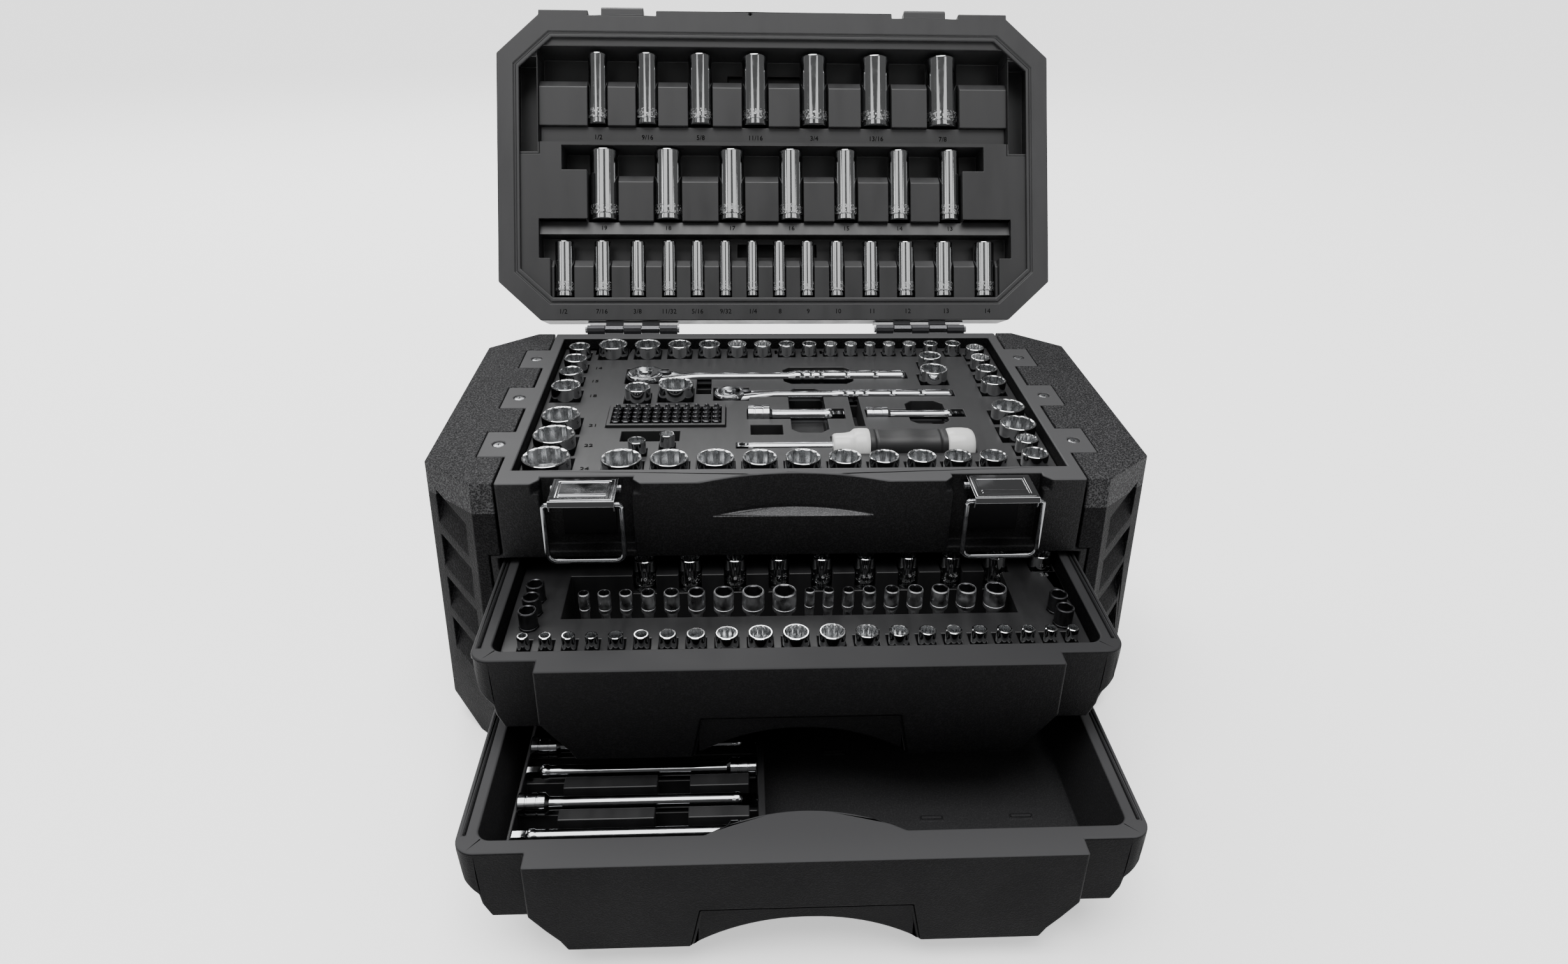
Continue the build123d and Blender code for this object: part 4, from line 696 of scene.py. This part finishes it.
def bit_grid(low, high):
    """Screwdriver bit: hexagon shank, round neck and a tip of four wings, whose radius follows
    cos^2 2t."""
    sides = 12
    length = (high[2] - low[2]) / MM
    wing = 1.25 + 0.75 * np.cos(2 * angles(sides)) ** 2
    shank = polygon(2.9, sides, 6, 30)
    tip = [(-3.6, shank), (-3.0, 2.2), (-2.0, 2.0), (-1.6, wing), (-0.5, wing * 0.75), (0, 0.3),
           (0, 0.0)]
    return on_foot(turned(sides, [(0.0, 0.0), (0.0, shank)], length, tip), low, high)


def screw_grid(low, high):
    """Pan head screw with a cross recess, whose radius follows |cos 2t|^3."""
    sides = 32
    cross = 0.5 + 1.5 * np.abs(np.cos(2 * angles(sides))) ** 3
    length = (high[2] - low[2]) / MM
    head = (high[0] - low[0]) / MM / 2
    pan = [(-2.0, 1.9), (-2.0, head * 0.96), (-1.4, head), (-0.5, head * 0.93),
           (-0.05, head * 0.7), (0, head * 0.55), (0, cross), (-1.2, cross * 0.7), (-1.5, 0.0)]
    return on_foot(turned(sides, [(0.0, 0.0), (1.0, 1.4), (1.4, 1.9)], length, pan), low, high)


# Settings


def size_property(name, description, default, lowest, highest):
    """Size that a user may change, given in millimetres and kept in metres."""
    return bpy.props.FloatProperty(
        name=name, description=description, default=default * MM, min=lowest * MM,
        max=highest * MM, unit="LENGTH", subtype="DISTANCE")


def strength_property(name, description, default, highest):
    """Strength of a light that a user may change."""
    return bpy.props.FloatProperty(
        name=name, description=description, default=default, min=0.0, max=highest)


class CaseSettings(bpy.types.PropertyGroup):
    edge_round: size_property("Edge round", "Radius of the moulded edges", 0.9, 0, 4)
    rim_round: size_property(
        "Rim round", "Radius of the edges of the housing and the drawers", 1.4, 0, 4)
    sheet_round: size_property(
        "Insert edge round", "Radius of the formed inserts' edges", 0.7, 0, 4)
    wire_radius: size_property("Bail wire radius", "Radius of the bail wire", 1.8, 0.5, 4)
    figure_size: size_property("Figure size", "Height of the raised figures", 6.0, 1, 20)


class StageSettings(bpy.types.PropertyGroup):
    floor_colour: bpy.props.FloatVectorProperty(
        name="Floor colour", description="Colour of the pale floor",
        default=linear("#f6f6f6")[:3], size=3, min=0.0, max=1.0, subtype="COLOR")
    floor_glow: strength_property("Floor glow", "Light of the lit table from below", 0.74, 10.0)
    room_strength: strength_property("Room light", "Even light from all round", 0.14, 10.0)
    overhead_power: strength_property("Overhead light", "Broad light from above", 4.4, 50.0)
    side_power: strength_property("Side lights", "Left side light, in watts", 3.6, 2000.0)
    front_power: strength_property(
        "Front lights", "Each soft light behind the camera, in watts", 3.4, 2000.0)
    back_power: strength_property("Back light", "Light behind the case, in watts", 70.0, 2000.0)


# Operators


class CASE_OT_shells(bpy.types.Operator):
    """Housing, side covers, runners and drawers"""
    bl_idname = "case.shells"
    bl_label = "Moulded shells"

    def execute(self, context):
        width = context.scene.case_settings.edge_round / MM
        rim = context.scene.case_settings.rim_round / MM
        softened("case_housing", "housing", rim, segments=3)
        for side in ("right", "left"):
            softened("side_cover_" + side, "cover", width)
            for level in ("upper", "lower"):
                dressed("runner_" + level + "_" + side, "deep_insert")
        softened("middle_drawer", "upper_drawer", rim, segments=3)
        softened("bottom_drawer", "lower_drawer", rim, segments=3)
        return {"FINISHED"}


class CASE_OT_lid(bpy.types.Operator):
    """Lid shell and the inserts within it"""
    bl_idname = "case.lid"
    bl_label = "Lid"

    def execute(self, context):
        settings = context.scene.case_settings
        softened("lid_shell", "lid", settings.edge_round / MM)
        for node in ("lid_insert", "lid_insert_islands", "lid_insert_wells"):
            softened(node, "lid_insert", settings.sheet_round / MM)
        return {"FINISHED"}


class CASE_OT_inserts(bpy.types.Operator):
    """Formed inserts of the top tray and of both drawers, and the bit rack"""
    bl_idname = "case.inserts"
    bl_label = "Inserts"

    def execute(self, context):
        width = context.scene.case_settings.sheet_round / MM
        softened("top_tray_insert", "insert", width)
        softened("middle_drawer_insert", "deep_insert", width)
        softened("bottom_drawer_insert", "deep_insert", width)
        softened("bit_rack", "deep_insert", 0.5)
        return {"FINISHED"}


class CASE_OT_figures(bpy.types.Operator):
    """Raised figures beside the sockets"""
    bl_idname = "case.figures"
    bl_label = "Figures"

    def execute(self, context):
        size = context.scene.case_settings.figure_size / MM
        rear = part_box("case_housing")[1][1] / MM
        flat = Matrix.Rotation(math.pi, 4, "X")
        tilted = Matrix.Rotation(math.pi - math.atan2(5.0, 14.5), 4, "X")
        # Row, its way in from the hinge side, height of its face, height raised, turn and figures
        rows = (
            (1, 168.5, 229.3, 0.3, flat, "1/2 9/16 5/8 11/16 3/4 13/16 7/8"),
            (2, 85.5, 227.9, 0.3, tilted, "19 18 17 16 15 14 13"),
            (3, 8.0, 218.3, 0.15, flat, "1/2 7/16 3/8 11/32 5/16 9/32 1/4 8 9 10 11 12 13 14"),
        )
        opened = lid_matrix()
        for row, reach, face, raised, turn, words in rows:
            found = solids("lid_sockets_row_" + str(row), opened.inverted())
            labels = []
            for (low, high), word in zip(sorted(found, key=lambda part: part[0][0]), words.split()):
                labels.append((word, ((low[0] + high[0]) / 2 / MM, rear - reach, face)))
            # The figures take the near-black finish, a painted shade round them
            lettering("lid_figures_" + str(row), labels, "letters", "lid_insert", size,
                      raised, turn, opened)
        self.beside("top_sockets_left", "top_tray_insert", (1, 0), 9.0, "24 22 21 18 15 14 13",
                    "letters", size * 1.1)
        self.beside("middle_sockets_rear", "middle_drawer_insert", (0, -1), 7.0,
                    "10 9 8 7 6 5.5 5 4.5 4 3.5", "pale_letters", size * 0.85)
        return {"FINISHED"}

    def beside(self, sockets, insert, way, gap, words, tone, size):
        """Figures on an insert's face, each a gap away from its socket in one direction."""
        along = 0 if way[1] else 1
        found = sorted(solids(sockets), key=lambda part: part[0][along])
        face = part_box(insert)[1][2] / MM
        labels = []
        for (low, high), word in zip(found, words.split()):
            x, y, _ = (low + high) / 2 / MM
            half = (high - low) / 2 / MM + gap
            labels.append((word, (x + way[0] * half[0], y + way[1] * half[1], face)))
        lettering(insert + "_figures", labels, tone, insert, size, 0.3, Matrix.Identity(4))


class CASE_OT_sockets(bpy.types.Operator):
    """All sockets: standing in the top tray and the middle drawer, lying in the lid"""
    bl_idname = "case.sockets"
    bl_label = "Sockets"

    def execute(self, context):
        groups = (
            ("top_sockets_", standing, ("front", "left", "rear", "right", "inner")),
            ("lid_sockets_row_", lying_in_lid, ("1", "2", "3")),
            ("middle_sockets_", standing, ("front", "rear")),
        )
        for group, way, names in groups:
            for node in [group + name for name in names]:
                piece_from(node, "_turned", way(node), "socket", inside="mouth")
        return {"FINISHED"}


class CASE_OT_drivers(bpy.types.Operator):
    """Nut drivers, bit sockets and the bits in the rack"""
    bl_idname = "case.drivers"
    bl_label = "Drivers and bits"

    def execute(self, context):
        for node, shape, key in (("nut_drivers", nut_driver_grid, "driver"),
                                 ("hex_bits", nut_driver_grid, "bit"),
                                 ("rack_bits", bit_grid, "bit")):
            grids = [shape(low, high) for low, high in solids(node)]
            # The nut drivers' mouths are lined with the dark bit steel, a painted shade for their
            # deep hollows
            inside = "bit" if key == "driver" else None
            piece_from(node, "_turned", grids, key, inside=inside)
        return {"FINISHED"}


class CASE_OT_handles(bpy.types.Operator):
    """Ratchets, extension bars and the spinner handle"""
    bl_idname = "case.handles"
    bl_label = "Handles and bars"

    def execute(self, context):
        for node, head in (("ratchet_large", 16.0), ("ratchet_small", 12.8)):
            steel, switch = ratchet_grids(*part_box(node), head)
            piece_from(node, "_forged", steel, "tool")
            piece_from(node, "_switch", switch, "bit")
        for node in ("extension_bar_wide", "extension_bar_narrow"):
            piece_from(node, "_turned", [bar_grid(*solids(node)[0], True)], "tool")
        found = sorted(solids("long_extension_bars"), key=lambda part: part[0][1])
        grids = [bar_grid(*part, index % 2 == 1) for index, part in enumerate(found)]
        piece_from("long_extension_bars", "_turned", grids, "tool")
        self.spinner()
        return {"FINISHED"}

    def spinner(self):
        """Spinner handle: a turned shaft with a square drive, and a collar, a butt and a grip of
        rounded square sections, whose radius r at x is given by stations. The grip's radius is
        12.3 + 0.9 cos^2 of its way, less a dip of 0.8 near each end."""
        low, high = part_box("spinner_shaft")
        z = (low[2] + high[2]) / 2
        y = (low[1] + high[1]) / 2
        there = Matrix.Translation((low[0], y, z)) @ Matrix.Rotation(QUARTER_TURN, 4, "Y")
        length = (high[0] - low[0]) / MM
        sides = 32
        box = polygon(3.17, sides, 4)
        drive = [(0.0, 0.0), (0.0, box * 0.85), (1.0, box), (8.0, box), (8.6, 4.4), (14, 4.5),
                 (15, 4.5)]
        shaft = placed(turned(sides, drive, length, [(-1, 4.5), (0, 4.5), (0, 0.0)]), there)
        piece_from("spinner_shaft", "_turned", [shaft], "tool")
        low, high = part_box("spinner_collar")
        middle = np.array([0, y, z])
        start, end = low[0] / MM, high[0] / MM
        collar_length, butt_length, flatness = 26.7, 20.7, 0.97
        x = np.array([0, 0, 1, 3, 9, 13, 15, 16, 19, 23, 25.5, 26.5, 26.7, 26.7]) + start
        r = np.array([0, 9.0, 10.0, 10.4, 10.6, 11.4, 13.0, 13.6, 13.9, 13.9, 13.7, 13.0, 12.0, 0])
        collar = lofted_bar(x, r, r * flatness, 40, 2.4) + middle
        x = np.array([0, 0, 0.6, 2, 6, 12, 17, 19.5, 20.5, 20.7, 20.7]) + end - butt_length
        r = np.array([0, 12.2, 12.9, 13.5, 13.9, 13.9, 13.4, 12.2, 10.8, 9.8, 0])
        butt = lofted_bar(x, r, r * flatness, 40, 2.4) + middle
        piece_from("spinner_collar", "_moulded", [collar, butt], "white")
        x = np.linspace(start + collar_length, end - butt_length, 90)
        way = (x - x[0]) / (x[-1] - x[0])
        r = 12.3 + 0.9 * np.cos(2 * np.pi * (way - 0.5)) ** 2
        for place in (0.08, 0.92):
            r -= 0.8 * np.exp(-((way - place) / 0.012) ** 2)
        r[0] = r[-1] = 0
        x[1], x[-2] = x[0] + 0.01, x[-1] - 0.01
        grip = lofted_bar(x, r, r * flatness, 40, 3.0) + middle
        piece_from("spinner_grip", "_moulded", [grip], "grip")


class CASE_OT_latches(bpy.types.Operator):
    """Latch brackets, levers, rivets and bails"""
    bl_idname = "case.latches"
    bl_label = "Latches"

    def execute(self, context):
        radius = context.scene.case_settings.wire_radius
        sheet, ear_bend, foot_bend = 1.6 * MM, 2.2 * MM, 6.5 * MM
        dressed("latch_pins", "screw")
        for side in ("right", "left"):
            softened("latch_base_" + side, "bracket", 0.3)
            softened("latch_lever_" + side, "sheet", 0.35)
            self.plate(side)
            low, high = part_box("bail_" + side)
            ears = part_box("latch_lever_" + side)
            y = (low[1] + high[1]) / 2
            x0, x1 = low[0] + radius, high[0] - radius
            z0, z1 = low[2] + radius, high[2] - radius
            corners = [(ears[0][0] + sheet, y, z1), (x0, y, z1), (x0, y, z0), (x1, y, z0),
                       (x1, y, z1), (ears[1][0] - sheet, y, z1)]
            path = rounded_path(corners, [ear_bend, foot_bend, foot_bend, ear_bend], 9)
            wire = tube(path, radius, 20, (0, 1, 0))
            piece_from("bail_" + side, "_wire", [wire], "wire", 60)
        return {"FINISHED"}

    def plate(self, side):
        """Pressed face of the lever: z = face + step x (the larger of border and ridges), where the
        border is a smooth step up near the edge and each ridge is exp(-((v - place) / 0.028)^2)
        across the front. A flat grid below it and a wall round it close the plate."""
        face, step, back = -0.35 * MM, 0.45 * MM, -0.5 * MM
        low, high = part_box("latch_lever_" + side)
        x = np.linspace(low[0] + 1.2 * MM, high[0] - 1.2 * MM, 70)
        y = np.linspace(low[1] + 3.0 * MM, high[1] - 1.2 * MM, 60)
        gx, gy = np.meshgrid(x, y)
        width, height = x[-1] - x[0], y[-1] - y[0]
        u = (gx - x[0]) / width
        v = (gy - y[0]) / height
        edge = np.minimum(np.minimum(u, 1 - u) * width, np.minimum(v, 1 - v) * height) / MM
        lift = eased(1 - np.clip((edge - 3.2) / 0.8, 0, 1))
        ridge = np.exp(-((v - 0.20) / 0.028) ** 2) + np.exp(-((v - 0.30) / 0.028) ** 2)
        lift = np.maximum(lift, ridge * (np.abs(u - 0.5) < 0.38))
        top = np.stack([gx, gy, high[2] + face + step * lift * np.clip(edge / 0.5, 0, 1)], -1)
        under = np.stack([gx, gy, np.full_like(gx, high[2] + back)], -1)
        rows, columns = gx.shape
        i, j = np.meshgrid(np.arange(rows - 1), np.arange(columns - 1), indexing="ij")
        a = i * columns + j
        quads = np.stack([a, a + 1, a + columns + 1, a + columns], -1).reshape(-1, 4)
        around = np.concatenate([np.arange(columns), np.arange(1, rows) * columns + columns - 1,
                                 (rows - 1) * columns + np.arange(columns - 2, -1, -1),
                                 np.arange(rows - 2, 0, -1) * columns])
        after = np.roll(around, -1)
        below = rows * columns
        wall = np.stack([after, around, around + below, after + below], -1)
        mesh = bpy.data.meshes.new("latch_face_" + side)
        points = np.concatenate([top.reshape(-1, 3), under.reshape(-1, 3)])
        faces = np.concatenate([quads, quads[:, ::-1] + below, wall])
        mesh.from_pydata(points.tolist(), [], faces.tolist())
        shaded(mesh, 50)
        mesh.materials.append(finish("sheet"))
        joined_to("latch_face_" + side, mesh, "latch_lever_" + side, replace=False)


class CASE_OT_fasteners(bpy.types.Operator):
    """Cover screws and both hinges"""
    bl_idname = "case.fasteners"
    bl_label = "Screws and hinges"

    def execute(self, context):
        grids = [screw_grid(low, high) for low, high in solids("side_cover_screws")]
        piece_from("side_cover_screws", "_turned", grids, "screw")
        softened("hinge_leaves_body", "bit", 0.3, 30.0)
        softened("hinge_leaves_lid", "bit", 0.3, 30.0)
        dressed("hinge_pins", "screw")
        return {"FINISHED"}


class CASE_OT_stage(bpy.types.Operator):
    """Pale floor, soft studio light and the camera"""
    bl_idname = "case.stage"
    bl_label = "Stage"

    def execute(self, context):
        settings = context.scene.stage_settings
        self.floor(settings)
        self.lights(settings)
        self.camera()
        return {"FINISHED"}

    def floor(self, settings):
        """Matt sheet of paper, lit from below, a little under the case's feet."""
        reach = 14.0
        corners = [(-reach, -reach, 0), (reach, -reach, 0), (reach, reach, 0), (-reach, reach, 0)]
        mesh = bpy.data.meshes.new("floor")
        mesh.from_pydata(corners, [], [(0, 1, 2, 3)])
        material, tree, shader, place = shader_of("paper_matt_floor")
        fibre = add_node(tree, "TexNoise", {"Scale": 40.0, "Detail": 3.0}, {"Vector": place})
        polish = add_node(tree, "MapRange", {"To Min": 0.82, "To Max": 0.92}, {"Value": fibre})
        tree.links.new(polish.outputs[0], shader.inputs["Roughness"])
        shader.inputs["Base Color"].default_value = tuple(settings.floor_colour) + (1.0,)
        shader.inputs["Specular IOR Level"].default_value = 0.1
        shader.inputs["Emission Color"].default_value = linear("#ffffff")
        shader.inputs["Emission Strength"].default_value = settings.floor_glow
        mesh.materials.append(material)
        floor = shown("floor", mesh)
        floor.location = (0, 0, -0.5 * MM)

    def lights(self, settings):
        """Even room light, a broad overhead light, and soft panels at the sides, the back and the
        front, each by its place in metres, the height it looks at, its width, height and power."""
        world = bpy.data.worlds.new("studio")
        bpy.context.scene.world = world
        world.use_nodes = True
        background = next(node for node in world.node_tree.nodes if node.type == "BACKGROUND")
        background.inputs["Color"].default_value = linear("#f4f4f4")
        background.inputs["Strength"].default_value = settings.room_strength
        overhead = bpy.data.lights.new("overhead_light", "SUN")
        overhead.energy = settings.overhead_power
        overhead.angle = math.radians(52)
        shown("overhead_light", overhead).rotation_euler = (math.radians(6), math.radians(-5), 0)
        side, front = settings.side_power, settings.front_power
        panels = (
            ("left_light", (-1.9, -0.9, 1.0), 0.25, 0.35, 1.5, side),
            ("right_light", (1.9, -1.1, 1.1), 0.25, 0.30, 1.3, side * 0.7),
            ("back_light", (-0.8, 2.1, 2.2), 0.2, 2.4, 1.0, settings.back_power),
            ("front_left_light", (-0.8, -1.15, 1.35), 0.3, 0.9, 1.1, front),
            ("front_right_light", (0.8, -1.15, 1.35), 0.3, 0.9, 1.1, front),
        )
        for name, place, target, width, height, power in panels:
            panel = bpy.data.lights.new(name, "AREA")
            panel.shape = "RECTANGLE"
            panel.size = width
            panel.size_y = height
            panel.energy = power
            holder = shown(name, panel)
            holder.location = place
            look = Vector((0, 0, target)) - Vector(place)
            holder.rotation_euler = look.to_track_quat("-Z", "Y").to_euler()

    def camera(self):
        """View of a pinhole camera at a measured place: turned -3.0 degrees about the upright, 28.3
        degrees down and 0.9 degrees of roll, with its focal length in the picture's pixels."""
        focal_length, picture_width, sensor_width = 1621.5, 2459, 36.0
        yaw, down, roll = math.radians(-2.999), math.radians(28.32), 0.016
        turn = Matrix.Rotation(-yaw, 3, "Z")
        view = Matrix.Rotation(roll, 3, "Z") @ Matrix.Rotation(down + QUARTER_TURN, 3, "X") @ turn
        data = bpy.data.cameras.new("Camera")
        data.sensor_width = sensor_width
        data.lens = sensor_width * focal_length / picture_width
        data.clip_start = 0.02
        data.clip_end = 60.0
        world = Matrix((view[0], -view[1], -view[2])).transposed().to_4x4()
        world.translation = Vector((-38.3, -741.7, 541.9)) * MM
        camera = shown("Camera", data)
        camera.matrix_world = world
        bpy.context.scene.camera = camera


class CASE_PT_panel(bpy.types.Panel):
    """Sizes of the case and the buttons that make its pieces"""
    bl_idname = "CASE_PT_panel"
    bl_label = "Tool case"
    bl_space_type = "VIEW_3D"
    bl_region_type = "UI"
    bl_category = "Tool case"

    def draw(self, context):
        for settings in (context.scene.case_settings, context.scene.stage_settings):
            for name in settings.bl_rna.properties.keys():
                if name not in ("rna_type", "name"):
                    self.layout.prop(settings, name)
        for operator in OPERATORS:
            self.layout.operator(operator.bl_idname)


OPERATORS = (CASE_OT_shells, CASE_OT_lid, CASE_OT_inserts, CASE_OT_figures, CASE_OT_sockets,
             CASE_OT_drivers, CASE_OT_handles, CASE_OT_latches, CASE_OT_fasteners, CASE_OT_stage)
CLASSES = (CaseSettings, StageSettings) + OPERATORS + (CASE_PT_panel,)


def register():
    for item in CLASSES:
        bpy.utils.register_class(item)
    bpy.types.Scene.case_settings = bpy.props.PointerProperty(type=CaseSettings)
    bpy.types.Scene.stage_settings = bpy.props.PointerProperty(type=StageSettings)


def unregister():
    del bpy.types.Scene.stage_settings
    del bpy.types.Scene.case_settings
    for item in reversed(CLASSES):
        bpy.utils.unregister_class(item)


def main():
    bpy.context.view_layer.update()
    register()
    bpy.ops.case.shells()
    bpy.ops.case.lid()
    bpy.ops.case.inserts()
    bpy.ops.case.figures()
    bpy.ops.case.sockets()
    bpy.ops.case.drivers()
    bpy.ops.case.handles()
    bpy.ops.case.latches()
    bpy.ops.case.fasteners()
    bpy.ops.case.stage()


if __name__ == "__main__":
    main()
